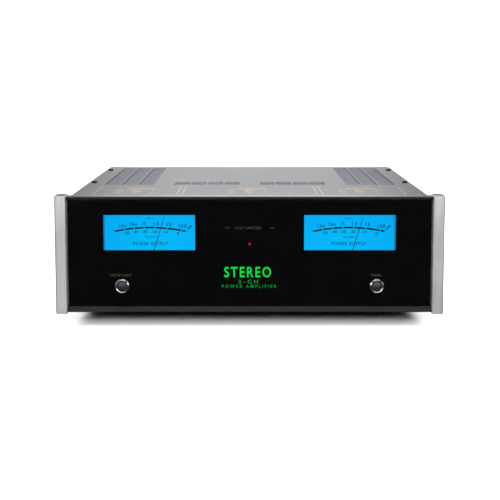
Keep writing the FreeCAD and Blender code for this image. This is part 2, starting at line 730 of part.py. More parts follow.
def push_switch(x):
    """The switch body behind the bezel's barrel, with its terminals."""
    half = 8.0
    z0 = BUTTON_Z - half
    body = rounded_prism(x - half, x + half, SWITCH_FRONT, SWITCH_BACK, z0, z0 + 2 * half, 1.0)
    body = body.cut(rod(BUTTON_STEM_RADIUS + 0.3, x, BUTTON_Z, SWITCH_FRONT - 1, SWITCH_FRONT + 9))
    pins = []
    for dx in (-5, 0, 5):
        for z in (BUTTON_Z - 4, BUTTON_Z + 4):
            pins.append(box(x + dx - 0.4, x + dx + 0.4, SWITCH_BACK - 1, SWITCH_BACK + 5, z - 1.2, z + 1.2))
    return joined([body] + pins)


def display_board():
    """The board behind the middle of the glass, with its driver chips and standoffs."""
    y0 = BOARD_FRONT
    y1 = y0 + BOARD_THICKNESS
    board = box(-52, 52, y0, y1, 38, 128)
    chips = [
        box(-9, 9, y1, y1 + 2.4, 62, 70),
        box(-40, -28, y1, y1 + 2.0, 84, 90),
        box(26, 44, y1, y1 + 8.0, 44, 54),
    ]
    standoffs = [rod(2.5, x, z, SUBPANEL_BACK, y0) for x in (-47, 47) for z in (43, 123)]
    return [board] + chips + standoffs


def indicator_lenses():
    return lamp_openings(-0.05, GLASS_BACK + 0.05, BOARD_FRONT)


def logo_light_box():
    """An edge-lit plate behind the lettering in the middle of the glass."""
    y0 = GLASS_BACK + MASK_THICKNESS + 0.1
    half = LOGO_HALF_WIDTH - 0.5
    return box(-half, half, y0, BOARD_FRONT, LOGO_BOTTOM + 0.5, LOGO_TOP - 0.5)


# ---------------------------------------------------------------- inside

def heat_sink():
    """The right-hand extrusion: an upright base plate with fins that run outwards."""
    base_outer = SINK_BASE_INNER_X + SINK_BASE_THICKNESS
    back = SINK_FRONT + SINK_LENGTH
    pitch = (SINK_LENGTH - FIN_THICKNESS) / (FIN_COUNT - 1)
    base = box(SINK_BASE_INNER_X, base_outer, SINK_FRONT, back, FLOOR_TOP, SINK_TOP)
    fins = []
    for k in range(FIN_COUNT):
        y = SINK_FRONT + pitch * k
        fins.append(box(base_outer, SINK_TIP_X, y, y + FIN_THICKNESS, FIN_BOTTOM, SINK_TOP))
    return joined([base] + fins)


def output_transistor(y):
    """A power transistor on the right-hand heat sink, with its leads into the driver board."""
    face = SINK_BASE_INNER_X
    board_face = DRIVER_BOARD_X + BOARD_THICKNESS
    body = box(face - 5, face, y - 10, y + 10, 72, 98).cut(rod_x(1.7, face - 6, face + 1, y, 92))
    leads = [box(board_face, face - 4.6, y + dy - 0.5, y + dy + 0.5, 75, 75.7) for dy in (-5.4, 0, 5.4)]
    return joined([body] + leads)


def driver_board():
    """The right-hand driver board with its capacitors, relay and emitter resistors."""
    y0 = at_depth(166.0)
    y1 = at_depth(424.0)
    board = box(DRIVER_BOARD_X, DRIVER_BOARD_X + BOARD_THICKNESS, y0, y1, 26, 118)
    legs = [
        box(DRIVER_BOARD_X, DRIVER_BOARD_X + BOARD_THICKNESS, y, y + 8, FLOOR_TOP, 26)
        for y in (y0 + 10, y1 - 18)
    ]
    capacitors = [rod_x(5.0, DRIVER_BOARD_X - 14, DRIVER_BOARD_X, y0 + 14 + 26 * k, 106) for k in range(5)]
    resistors = [
        box(DRIVER_BOARD_X - 6, DRIVER_BOARD_X, y0 + 12 + 30 * k, y0 + 32 + 30 * k, 56, 64)
        for k in range(8)
    ]
    relay = box(RELAY_INNER_X, DRIVER_BOARD_X, y1 - 40, y1 - 12, 88, 112)
    return [joined([board] + legs), relay] + capacitors + resistors


def power_transformer():
    """A toroid lying flat in the middle of the case."""
    corner = 12.0
    top = TOROID_BOTTOM + TOROID_HEIGHT
    section = outline_face([
        V(TOROID_BORE, TOROID_Y, TOROID_BOTTOM),
        V(TOROID_RADIUS, TOROID_Y, TOROID_BOTTOM),
        V(TOROID_RADIUS, TOROID_Y, top),
        V(TOROID_BORE, TOROID_Y, top),
    ])
    toroid = section.revolve(V(0, TOROID_Y, 0), Z_AXIS, 360)
    rims = [e for e in toroid.Edges if isinstance(e.Curve, Part.Circle)]
    return toroid.makeFillet(corner, rims)


def transformer_clamp():
    """Dished plate, bolt, nut and the two rubber pads that hold the toroid down."""
    top = TOROID_BOTTOM + TOROID_HEIGHT
    bolt_hole = post(CLAMP_BOLT_RADIUS + 0.2, 0, TOROID_Y, 0, CASE_TOP)
    pad_below = post(60, 0, TOROID_Y, FLOOR_TOP, TOROID_BOTTOM).cut(bolt_hole)
    pad_above = post(52, 0, TOROID_Y, top, top + 2).cut(bolt_hole)
    plate = post(48, 0, TOROID_Y, top + 2, top + 4.5).cut(bolt_hole)
    nut = post(7.4, 0, TOROID_Y, top + 4.5, top + 11).cut(bolt_hole)
    bolt = joined([
        post(CLAMP_BOLT_RADIUS, 0, TOROID_Y, CASE_BOTTOM - 0.5, top + 13),
        post(7.5, 0, TOROID_Y, CASE_BOTTOM - 5, CASE_BOTTOM),
    ])
    return [pad_below, pad_above, plate, bolt, nut]


def capacitor_places():
    return [(x, at_depth(d)) for x in (-32.0, 32.0) for d in (292.0, 352.0)]


def filter_capacitor(x, y):
    """A large can with a rolled rim and a scored top."""
    z0 = SUPPLY_BOARD_Z + BOARD_THICKNESS
    can = post(CAPACITOR_RADIUS, x, y, z0, z0 + CAPACITOR_HEIGHT)
    rims = [e for e in can.Edges if isinstance(e.Curve, Part.Circle) and e.Curve.Center.z > z0 + 1]
    can = can.makeFillet(2.0, rims)
    groove = Part.makeTorus(CAPACITOR_RADIUS + 0.4, 1.2, V(x, y, z0 + 7), Z_AXIS)
    return can.cut(groove)


def power_supply_board():
    """The board under the filter capacitors, with bridge rectifiers, fuses and standoffs."""
    y0 = at_depth(252.0)
    y1 = at_depth(412.0)
    z1 = SUPPLY_BOARD_Z + BOARD_THICKNESS
    board = box(-84, 84, y0, y1, SUPPLY_BOARD_Z, z1)
    standoffs = [post(3.0, x, y, FLOOR_TOP, SUPPLY_BOARD_Z) for x in (-76, 76) for y in (y0 + 8, y1 - 8)]
    rectifiers = [box(side * 73 - 7, side * 73 + 7, y0 + 30, y0 + 58, z1, z1 + 24) for side in (-1, 1)]
    fuses = [box(-60 + 32 * k, -36 + 32 * k, y1 - 22, y1 - 14, z1, z1 + 9) for k in range(4)]
    return [board] + standoffs + rectifiers + fuses


def input_board():
    """The small board that the input sockets' tags reach."""
    y1 = at_depth(436.0)
    y0 = y1 - BOARD_THICKNESS
    board = box(-92, 20, y0, y1, 38, 126)
    chips = [box(x - 7, x + 7, y0 - 4, y0, 74, 82) for x in (-63, -23)]
    standoffs = [rod(2.5, x, z, y1, REAR_PANEL_INSIDE) for x in (-88, 16) for z in (42, 122)]
    return [board] + chips + standoffs


def lead(diameter, side, points):
    """A lead through (X, depth, Z) points, for the right-hand side (1) or mirrored (-1)."""
    return wire_run([(side * x, at_depth(depth), z) for x, depth, z in points], diameter)


def lead_ends():
    """Every piece that a lead is soldered or clamped to, on both sides."""
    board = driver_board()
    pieces = [mains_inlet(), power_transformer()]
    pieces += display_board() + power_supply_board() + input_board()
    pieces += board + [mirrored(p) for p in board]
    pieces += [terminal_post(x) for x in TERMINAL_XS]
    return pieces


def wiring_harness():
    """Mains and display leads, and each channel's supply, speaker, return and signal leads."""
    leads = [
        lead(6.0, 1, [
            (INLET_X, 440, 50), (INLET_X, 428, 38), (90, 404, 28), (91, 350, 26),
            (92, 290, 26.5), (91, 236, 30), (78, 213, 38), (64.6, 201.8, 40),
        ]),
        lead(4.0, -1, [
            (0, 25, 66), (4, 33, 62), (32, 44, 44), (76, 62, 30), (91, 112, 26),
            (92, 172, 26.5), (93, 222, 31), (91, 250, 44), (82, 263, 45), (76, 268, 35.6),
        ]),
    ]
    for side in (-1, 1):
        leads.append(lead(4.0, side, [
            (50.6, 215, 60), (56, 224, 66), (68, 246, 72), (73, 270, 74), (73, 286, 71), (73, 294, 59.6),
        ]))
        leads.append(lead(4.0, side, [
            (RELAY_INNER_X, 390, 100), (75, 400, 108), (78, 420, 122), (98, 442, 131),
            (130, 447, 128), (158, 449, 117), (169, 451, 103), (170, 452, 88),
        ]))
        leads.append(lead(4.0, side, [
            (60, 404, 35.6), (62, 407, 47), (80, 415, 58), (95, 430, 66), (105, 444, 78),
            (120, 449, 94), (133, 451, 99), (135, 452, 88),
        ]))
    leads.append(lead(3.0, -1, [
        (60, 434.4, 92), (62, 424, 89), (76, 413, 82), (90, 405, 78), (99, 401, 77),
    ]))
    leads.append(lead(3.0, 1, [
        (-14, 434.4, 104), (-8, 423, 101), (28, 417, 90), (68, 412, 82), (90, 405, 78), (99, 401, 77),
    ]))
    ends = lead_ends()
    trimmed = [minus(run, ends).Solids for run in leads]
    return [max(solids, key=lambda solid: solid.Volume) for solids in trimmed]


# ---------------------------------------------------------------- rear connectors

def xlr_shell(x):
    """A three-pole locking socket's shell: flange, tubular barrel and the release tab's slot."""
    flange = rounded_prism(x - 13, x + 13, CASE_BACK, CASE_BACK + 2, XLR_Z - 15.5, XLR_Z + 15.5, 3.0)
    barrel = rod(11.6, x, XLR_Z, XLR_INSERT_BACK, CASE_BACK + 1)
    lip = rod(12.4, x, XLR_Z, CASE_BACK + 1, CASE_BACK + 3.2)
    mouth = CASE_BACK + 4
    cutters = [
        rod(XLR_BORE_RADIUS, x, XLR_Z, XLR_INSERT_BACK - 1, mouth),
        box(x - 3.2, x + 3.2, CASE_BACK + 0.4, mouth, XLR_Z + 9.9, XLR_Z + 15.2),
    ]
    for dx, dz in ((-9.5, 12.0), (9.5, -12.0)):
        cutters.append(rod(1.7, x + dx, XLR_Z + dz, CASE_BACK - 1, mouth))
    return minus(joined([flange, barrel, lip]), cutters)


def xlr_insert(x):
    """The contact block in the shell: a base that fills the bore and a core with three contact holes."""
    block = joined([
        rod(XLR_BORE_RADIUS, x, XLR_Z, XLR_INSERT_BACK, CASE_BACK - 12),
        rod(XLR_CORE_RADIUS, x, XLR_Z, CASE_BACK - 12, CASE_BACK + 2.2),
    ])
    holes = []
    for angle in (90, 210, 330):
        contact_x = x + 4.1 * math.cos(math.radians(angle))
        contact_z = XLR_Z + 4.1 * math.sin(math.radians(angle))
        holes.append(rod(1.3, contact_x, contact_z, CASE_BACK - 10, CASE_BACK + 4))
    return minus(block, holes)


def xlr_latch(x):
    """The release tab above the socket's mouth, which is pressed down to free the plug."""
    tab = box(x - 2.9, x + 2.9, CASE_BACK + 0.7, CASE_BACK + 4.2, XLR_Z + 12.2, XLR_Z + 14.9)
    ridges = [
        box(x - 2.2, x + 2.2, CASE_BACK + 4.0, CASE_BACK + 4.6, XLR_Z + dz, XLR_Z + dz + 0.5)
        for dz in (12.7, 13.6)
    ]
    return joined([tab] + ridges)


def rca_jack(x):
    """A phono socket: hexagon, threaded inner body and the shell that a plug grips."""
    pieces = [
        hexagon(12.0, x, RCA_Z, CASE_BACK, CASE_BACK + 3),
        rod(4.5, x, RCA_Z, at_depth(436), CASE_BACK),
        rod(RCA_RADIUS, x, RCA_Z, CASE_BACK + 3, CASE_BACK + 13),
    ]
    return joined(pieces).cut(rod(1.65, x, RCA_Z, CASE_BACK + 2, CASE_BACK + 14))


def trigger_jack(z):
    """A 3.5 mm control jack with its ring nut."""
    body = joined([
        box(TRIGGER_X - 6, TRIGGER_X + 6, REAR_PANEL_INSIDE - 13, REAR_PANEL_INSIDE, z - 5, z + 5),
        rod(3.1, TRIGGER_X, z, REAR_PANEL_INSIDE - 1, CASE_BACK + 3),
        rod(5.0, TRIGGER_X, z, CASE_BACK, CASE_BACK + 1.8),
    ])
    return body.cut(rod(TRIGGER_BORE, TRIGGER_X, z, CASE_BACK + 3 - 14, CASE_BACK + 4))


def terminal_post(x):
    """A loudspeaker post: insulating collar, stud with a wire hole, and a 4 mm plug bore."""
    end = CASE_BACK + 29.0
    post_body = joined([
        rod(9.0, x, TERMINAL_Z, CASE_BACK, CASE_BACK + 3.6),
        rod(5.0, x, TERMINAL_Z, REAR_PANEL_INSIDE, CASE_BACK),
        rod(8.0, x, TERMINAL_Z, REAR_PANEL_INSIDE - 3, REAR_PANEL_INSIDE),
        rod(STUD_RADIUS, x, TERMINAL_Z, REAR_PANEL_INSIDE - 12, end),
    ])
    wire_hole = Part.makeCylinder(1.4, 12, V(x, CASE_BACK + 6.6, TERMINAL_Z - 6), Z_AXIS)
    return minus(post_body, [rod(BANANA_RADIUS, x, TERMINAL_Z, end - BANANA_DEPTH, end + 1), wire_hole])


def terminal_knob(x):
    """The thumb nut of a loudspeaker post, with grip flutes round it."""
    bore = STUD_RADIUS + 0.06
    knob = turned([
        (bore, KNOB_FRONT),
        (KNOB_RADIUS - 1.2, KNOB_FRONT),
        (KNOB_RADIUS - 0.6, KNOB_FRONT + 0.8),
        (KNOB_RADIUS, KNOB_FRONT + 1.2),
        (KNOB_RADIUS, KNOB_BACK - 1.6),
        (KNOB_RADIUS - 1.2, KNOB_BACK),
        (bore, KNOB_BACK),
    ], x, TERMINAL_Z)
    flutes = []
    for k in range(12):
        angle = math.radians(30 * k)
        fx = x + (KNOB_RADIUS + 0.5) * math.cos(angle)
        fz = TERMINAL_Z + (KNOB_RADIUS + 0.5) * math.sin(angle)
        flutes.append(rod(1.2, fx, fz, KNOB_FRONT + 3, KNOB_BACK + 1))
    return minus(knob, flutes)


def mains_inlet():
    """A three-pin inlet: flange, socket well and its pins."""
    x = INLET_X
    z = INLET_Z
    shell = joined([
        rounded_prism(x - 25, x + 25, CASE_BACK, CASE_BACK + 3, z - 12, z + 12, 3.0),
        rounded_prism(x - 13.8, x + 13.8, at_depth(440), CASE_BACK + 1, z - 10, z + 10, 1.5),
    ])
    outline = [(-12, -8), (12, -8), (12, 3), (7, 8), (-7, 8), (-12, 3)]
    bottom = CASE_BACK - 13
    mouth = outline_face([V(x + dx, bottom, z + dz) for dx, dz in outline]).extrude(V(0, 20, 0))
    screw_holes = [rod(1.7, x + dx, z, CASE_BACK - 1, CASE_BACK + 5) for dx in (-20, 20)]
    pins = []
    for dx, dz in ((-7, -2.5), (7, -2.5), (0, 2.0)):
        pins.append(box(x + dx - 1, x + dx + 1, bottom - 1, CASE_BACK + 1, z + dz - 2, z + dz + 2))
    return joined([minus(shell, [mouth] + screw_holes)] + pins)


def fuse_holder():
    """The fixed body of the screw-cap fuse holder."""
    body = joined([
        rod(8.5, INLET_X, FUSE_Z, CASE_BACK, CASE_BACK + 3),
        rod(6.4, INLET_X, FUSE_Z, at_depth(430), CASE_BACK),
    ])
    return body.cut(rod(5.4, INLET_X, FUSE_Z, at_depth(434), CASE_BACK + 4))


def fuse_cap():
    """The bayonet cap: a slotted head on the fuse carrier."""
    cap = joined([
        rod(6.6, INLET_X, FUSE_Z, CASE_BACK + 3.2, CASE_BACK + 8.5),
        rod(5.2, INLET_X, FUSE_Z, at_depth(440), CASE_BACK + 4),
    ])
    slot = box(INLET_X - 5.2, INLET_X + 5.2, CASE_BACK + 7, CASE_BACK + 9, FUSE_Z - 0.7, FUSE_Z + 0.7)
    return cap.cut(slot)


def mode_switch():
    """The fixed body of the input selector slide switch."""
    x = MODE_SWITCH_X
    y = REAR_PANEL_INSIDE
    z = MODE_SWITCH_Z
    slot = box(x - 2.6, x + 2.6, y - 5, y + 1, z - 5.5, z + 5.5)
    return box(x - 5, x + 5, y - 9, y, z - 10, z + 10).cut(slot)


def mode_switch_knob():
    """The selector's slider, resting in its upper position, with grip ridges."""
    x0 = MODE_SWITCH_X - 2.3
    x1 = MODE_SWITCH_X + 2.3
    z0 = MODE_SWITCH_Z + 1.0
    tip = CASE_BACK + 2.5
    stem = box(x0, x1, REAR_PANEL_INSIDE - 4.6, tip - 0.5, z0, z0 + 4.2)
    ridges = [box(x0, x1, tip - 0.7, tip, z0 + dz, z0 + dz + 0.7) for dz in (0.4, 1.75, 3.1)]
    return joined([stem] + ridges)


# ---------------------------------------------------------------- the assembly

def save_front():
    save("end_cap_right", end_cap())
    save("end_cap_left", mirrored(end_cap()))
    save("top_rail", rail(CASE_TOP, TOP_RAIL_FACE, -1))
    save("bottom_rail", rail(CASE_BOTTOM, BOTTOM_RAIL_FACE, 1))
    save("front_glass", front_glass())
    save("glass_mask", glass_mask())
    save("front_subpanel", front_subpanel())
    save("button_bezels", *button_bezel(-BUTTON_X), *button_bezel(BUTTON_X))
    for name, x in (("meter_light_button", -BUTTON_X), ("power_button", BUTTON_X)):
        save(name, push_button(x))
        save(f"{name}_spring", button_spring(x))
    save("push_switches", push_switch(-BUTTON_X), push_switch(BUTTON_X))
    save("display_board", *display_board())
    save("indicator_lenses", *indicator_lenses())
    save("logo_light_box", logo_light_box())


def save_meters():
    for side, x in (("left", -METER_X), ("right", METER_X)):
        save(f"meter_housing_{side}", meter_housing(x))
        save(f"meter_dial_{side}", meter_dial(x))
        save(f"meter_movement_{side}", meter_movement(x))
        save(f"meter_pointer_{side}", meter_pointer(x))
    save("meter_lamp_boards", *meter_lamp_board(-METER_X), *meter_lamp_board(METER_X))


def save_case():
    save("top_cover", top_cover())
    save("vent_screens", *vent_screens())
    save("side_panel_right", side_panel())
    save("side_panel_left", mirrored(side_panel()))
    save("bottom_plate", bottom_plate())
    save("rear_panel", rear_panel())
    save("feet", *[foot(x, y) for x, y in foot_places()])
    down = V(0, 0, -1)
    above = [button_head_screw(x, y, CASE_TOP, Z_AXIS) for x, y in cover_screw_places()]
    rear = [button_head_screw(x, CASE_BACK, z, Y_AXIS) for x, z in rear_screws()]
    below = [button_head_screw(x, y, CASE_BOTTOM, down) for x, y in side_flange_screws()]
    save("case_screws", *above, *rear, *below)
    long_shank = 10.0
    save("foot_screws", *[
        button_head_screw(x, y, FOOT_RECESS_HEIGHT, down, long_shank) for x, y in foot_places()
    ])


def save_inside():
    save("heat_sink_right", heat_sink())
    save("heat_sink_left", mirrored(heat_sink()))
    devices = [output_transistor(DEVICE_FIRST_Y + DEVICE_PITCH * k) for k in range(DEVICE_COUNT)]
    save("output_transistors", *devices, *[mirrored(d) for d in devices])
    board = driver_board()
    save("driver_boards", *board, *[mirrored(p) for p in board])
    save("power_transformer", power_transformer())
    save("transformer_clamp", *transformer_clamp())
    save("filter_capacitors", *[filter_capacitor(x, y) for x, y in capacitor_places()])
    save("power_supply_board", *power_supply_board())
    save("input_board", *input_board())
    save("wiring_harness", *wiring_harness())


def save_rear():
    save("xlr_shells", *[xlr_shell(x) for x in SOCKET_XS])
    save("xlr_inserts", *[xlr_insert(x) for x in SOCKET_XS])
    for side, x in zip(("left", "right"), SOCKET_XS):
        save(f"xlr_latch_{side}", xlr_latch(x))
    save("rca_jacks", *[rca_jack(x) for x in SOCKET_XS])
    save("trigger_jacks", *[trigger_jack(z) for z in TRIGGER_ZS])
    save("terminal_posts", *[terminal_post(x) for x in TERMINAL_XS])
    for name, x in zip(TERMINAL_NAMES, TERMINAL_XS):
        save(f"terminal_knob_{name}", terminal_knob(x))
    save("mains_inlet", mains_inlet())
    save("fuse_holder", fuse_holder())
    save("fuse_cap", fuse_cap())
    save("mode_switch", mode_switch())
    save("mode_switch_knob", mode_switch_knob())


save_front()
save_meters()
save_case()
save_inside()
save_rear()
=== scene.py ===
"""Stereo power amplifier: finishes, printed legends, perforated screens, floor, light and camera."""

import math

import bmesh
import bpy
from mathutils import Matrix, Vector


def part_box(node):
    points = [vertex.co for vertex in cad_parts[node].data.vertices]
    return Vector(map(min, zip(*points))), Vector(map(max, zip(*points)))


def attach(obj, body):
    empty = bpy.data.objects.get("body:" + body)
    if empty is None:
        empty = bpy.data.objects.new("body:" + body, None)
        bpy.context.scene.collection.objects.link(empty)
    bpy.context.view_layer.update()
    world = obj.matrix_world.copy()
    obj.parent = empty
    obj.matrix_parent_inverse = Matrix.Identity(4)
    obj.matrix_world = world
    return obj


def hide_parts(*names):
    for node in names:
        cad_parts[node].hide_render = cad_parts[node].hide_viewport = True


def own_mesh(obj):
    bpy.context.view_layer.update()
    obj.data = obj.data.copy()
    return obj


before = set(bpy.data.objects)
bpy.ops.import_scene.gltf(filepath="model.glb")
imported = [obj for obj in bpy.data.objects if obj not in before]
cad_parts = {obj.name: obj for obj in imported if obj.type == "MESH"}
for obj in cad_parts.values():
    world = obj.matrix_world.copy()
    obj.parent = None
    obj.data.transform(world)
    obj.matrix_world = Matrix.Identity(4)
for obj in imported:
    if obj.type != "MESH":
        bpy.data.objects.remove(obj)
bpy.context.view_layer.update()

MM = 0.001
CHASSIS = "chassis"
PRINT_FILM = 0.04 * MM
PRINT_LIFT = 0.03 * MM

FACING_FRONT = Matrix.Rotation(math.radians(90), 4, "X")
FACING_UP = Matrix.Identity(4)
FACING_REAR = Matrix.Rotation(math.radians(180), 4, "Z") @ Matrix.Rotation(math.radians(90), 4, "X")


def middle(node):
    """Centre of a node's box."""
    low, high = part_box(node)
    return (low + high) / 2


# ---------------------------------------------------------------- materials


def tone(red, green, blue):
    """A display colour from 0 to 255 as a linear colour."""
    parts = []
    for value in (red, green, blue):
        value /= 255
        parts.append(value / 12.92 if value <= 0.04045 else ((value + 0.055) / 1.055) ** 2.4)
    return (*parts, 1.0)


class Recipe:
    """A Principled material and short calls for the nodes that drive it."""

    def __init__(self, name, metallic=0.0, roughness=0.5):
        self.material = bpy.data.materials.new("look_" + name)
        self.material.use_nodes = True
        self.tree = self.material.node_tree
        self.shader = self.tree.nodes["Principled BSDF"]
        self.shader.inputs["Metallic"].default_value = metallic
        self.shader.inputs["Roughness"].default_value = roughness
        self.place = self.add("ShaderNodeTexCoord").outputs["Object"]

    def add(self, kind, **settings):
        made = self.tree.nodes.new(kind)
        for name, value in settings.items():
            setattr(made, name, value)
        return made

    def join(self, output, target):
        self.tree.links.new(output, target)

    def fixed(self, **values):
        """Set uniform values on the shader's own sockets."""
        for name, value in values.items():
            self.shader.inputs[name.replace("_", " ")].default_value = value

    def mapped(self, scale=(1, 1, 1), location=(0, 0, 0)):
        node = self.add("ShaderNodeMapping")
        node.inputs["Scale"].default_value = scale
        node.inputs["Location"].default_value = location
        self.join(self.place, node.inputs["Vector"])
        return node.outputs["Vector"]

    def noise(self, per_metre, stretch=(1, 1, 1), detail=3.0):
        node = self.add("ShaderNodeTexNoise")
        node.inputs["Scale"].default_value = per_metre
        node.inputs["Detail"].default_value = detail
        self.join(self.mapped(stretch), node.inputs["Vector"])
        return node.outputs["Fac"]

    def ramp(self, factor, *stops):
        """Colours along a factor; each stop is (position, colour)."""
        node = self.add("ShaderNodeValToRGB")
        elements = node.color_ramp.elements
        while len(elements) < len(stops):
            elements.new(0.5)
        for element, (position, colour) in zip(elements, stops):
            element.position = position
            element.color = colour
        self.join(factor, node.inputs["Fac"])
        return node.outputs["Color"]

    def between(self, factor, low, high, start=0.3, end=0.7):
        """A value that goes from low to high as the factor goes from start to end."""
        node = self.add("ShaderNodeMapRange")
        for name, value in (("From Min", start), ("From Max", end), ("To Min", low), ("To Max", high)):
            node.inputs[name].default_value = value
        self.join(factor, node.inputs["Value"])
        return node.outputs["Result"]

    def math(self, operation, first, second):
        node = self.add("ShaderNodeMath", operation=operation)
        for socket, value in zip(node.inputs, (first, second)):
            if isinstance(value, (int, float)):
                socket.default_value = value
            else:
                self.join(value, socket)
        return node.outputs["Value"]

    def blend(self, factor, first, second):
        """Colour that goes from first to second with the factor."""
        node = self.add("ShaderNodeMix", data_type="RGBA")
        self.join(factor, node.inputs["Factor"])
        for name, value in (("A", first), ("B", second)):
            socket = next(s for s in node.inputs if s.name == name and s.type == "RGBA")
            if isinstance(value, tuple):
                socket.default_value = value
            else:
                self.join(value, socket)
        return next(s for s in node.outputs if s.type == "RGBA")

    def bump(self, height, depth, strength=1.0):
        node = self.add("ShaderNodeBump")
        node.inputs["Distance"].default_value = depth
        node.inputs["Strength"].default_value = strength
        self.join(height, node.inputs["Height"])
        self.join(node.outputs["Normal"], self.shader.inputs["Normal"])

    def colour(self, output):
        self.join(output, self.shader.inputs["Base Color"])

    def rough(self, output):
        self.join(output, self.shader.inputs["Roughness"])

    def glow(self, output, strength):
        self.join(output, self.shader.inputs["Emission Color"])
        self.shader.inputs["Emission Strength"].default_value = strength


def mottled(
    name, dark, light, per_metre, roughness, metallic=0.0, stretch=(1, 1, 1), relief=0.0, cloud=12.0
):
    """A finish whose colour drifts slowly, with a finer grain in its gloss and relief."""
    look = Recipe(name, metallic)
    grain = look.noise(per_metre, stretch)
    drift = look.noise(cloud, detail=2.0)
    both = look.math("ADD", look.math("MULTIPLY", grain, 0.6), look.math("MULTIPLY", drift, 0.4))
    look.colour(look.ramp(both, (0.35, dark), (0.65, light)))
    look.rough(look.between(grain, *roughness))
    if relief:
        look.bump(grain, relief)
    return look


def satin_aluminium():
    """Brushed upright, clear anodised."""
    return mottled(
        "satin_aluminium", tone(186, 184, 186), tone(206, 204, 205), 260.0, (0.30, 0.42),
        metallic=0.72, stretch=(4, 4, 0.06), relief=0.02 * MM, cloud=30.0,
    )


def black_anodised():
    return mottled(
        "black_anodised", tone(34, 33, 32), tone(44, 43, 41), 700.0, (0.34, 0.46),
        metallic=0.35, stretch=(0.04, 1, 1), relief=0.01 * MM,
    )


def rail_black_painted_highlight():
    """Black anodised rail whose upward faces are coloured pale as a painted highlight: the lit line along
    its top edge.
    """
    look = Recipe("rail_black_painted_highlight", metallic=0.35)
    grain = look.noise(700.0, (0.04, 1, 1))
    facing = look.add("ShaderNodeSeparateXYZ")
    look.join(look.add("ShaderNodeNewGeometry").outputs["Normal"], facing.inputs["Vector"])
    # painted highlight: faces that point up take a pale colour, standing in for light falling on the rail's
    # top
    painted_highlight_top = look.between(facing.outputs["Z"], 0.0, 1.0, 0.93, 0.99)
    black = look.ramp(grain, (0.35, tone(34, 33, 32)), (0.65, tone(44, 43, 41)))
    highlight_pale = look.ramp(grain, (0.35, tone(182, 178, 171)), (0.65, tone(188, 184, 177)))
    look.colour(look.blend(painted_highlight_top, black, highlight_pale))
    look.rough(look.between(grain, 0.34, 0.46))
    look.bump(grain, 0.01 * MM)
    return look


def clear_glass():
    look = Recipe("clear_glass", roughness=0.0)
    look.fixed(Transmission_Weight=1.0, IOR=1.5)
    smudge = look.noise(30.0, detail=5.0)
    look.rough(look.between(smudge, 0.0, 0.012, 0.45, 0.8))
    look.colour(look.ramp(smudge, (0.3, (0.97, 0.985, 0.99, 1)), (0.7, (1, 1, 1, 1))))
    return look


def black_mask():
    look = mottled("black_mask", tone(1, 1, 1), tone(3, 3, 3), 900.0, (0.5, 0.7))
    look.fixed(Specular_IOR_Level=0.03)
    return look


def cover_grey():
    """Fine satin silver-grey lacquer on aluminium sheet."""
    return mottled(
        "cover_grey", tone(166, 166, 170), tone(175, 174, 178), 1800.0, (0.42, 0.52),
        metallic=0.5, relief=0.006 * MM, cloud=9.0,
    )


def chassis_black():
    return mottled(
        "chassis_black", tone(26, 26, 27), tone(38, 38, 39), 1400.0, (0.45, 0.62),
        relief=0.05 * MM,
    )


def screen_grey():
    return mottled(
        "screen_grey", tone(168, 170, 181), tone(184, 186, 197), 900.0, (0.42, 0.55),
        metallic=0.5, relief=0.01 * MM,
    )


def black_screw():
    return mottled(
        "black_screw", tone(20, 20, 21), tone(34, 34, 35), 1500.0, (0.28, 0.42),
        metallic=0.5, relief=0.01 * MM,
    )


def zinc_steel():
    return mottled(
        "zinc_steel", tone(150, 150, 152), tone(186, 186, 186), 500.0, (0.24, 0.42),
        metallic=1.0, relief=0.01 * MM, cloud=90.0,
    )


def rubber_black():
    return mottled(
        "rubber_black", tone(22, 22, 22), tone(33, 32, 31), 2200.0, (0.7, 0.9),
        relief=0.06 * MM,
    )


def bezel_chrome():
    return mottled(
        "bezel_chrome", tone(228, 227, 228), tone(242, 241, 242), 400.0, (0.2, 0.28),
        metallic=1.0,
    )


def button_dark_chrome():
    return mottled(
        "button_dark_chrome", tone(60, 62, 68), tone(72, 75, 82), 350.0, (0.44, 0.54),
        metallic=0.85,
    )


def spring_steel():
    return mottled(
        "spring_steel", tone(165, 165, 168), tone(192, 192, 194), 2000.0, (0.2, 0.34),
        metallic=1.0,
    )


def black_plastic():
    return mottled(
        "black_plastic", tone(22, 22, 23), tone(32, 32, 33), 1900.0, (0.42, 0.6),
        relief=0.03 * MM,
    )


def circuit_board():
    """Green solder mask with copper runs showing through it."""
    look = Recipe("circuit_board", roughness=0.35)
    runs = look.add("ShaderNodeTexBrick")
    runs.inputs["Scale"].default_value = 90.0
    runs.inputs["Mortar Size"].default_value = 0.035
    runs.inputs["Color1"].default_value = tone(10, 84, 44)
    runs.inputs["Color2"].default_value = tone(14, 96, 52)
    runs.inputs["Mortar"].default_value = tone(60, 140, 70)
    look.join(look.mapped(), runs.inputs["Vector"])
    look.colour(runs.outputs["Color"])
    look.rough(look.between(look.noise(800.0), 0.28, 0.42))
    return look


def red_lens():
    """The round standby lamp is lit; the two bars above it barely glow."""
    look = Recipe("red_lens", roughness=0.5)
    look.fixed(Specular_IOR_Level=0.1)
    low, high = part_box("indicator_lenses")
    height = look.add("ShaderNodeSeparateXYZ")
    look.join(look.place, height.inputs["Vector"])
    is_bar = look.between(height.outputs["Z"], 0.0, 1.0, low.z + 6 * MM, high.z - 4 * MM)
    look.glow(look.blend(is_bar, tone(246, 0, 8), tone(60, 17, 5)), 1.6)
    look.colour(look.ramp(look.noise(600.0), (0.3, tone(60, 6, 4)), (0.7, tone(84, 10, 6))))
    return look


def light_guide():
    return mottled("light_guide", tone(150, 190, 165), tone(180, 214, 190), 300.0, (0.2, 0.35))


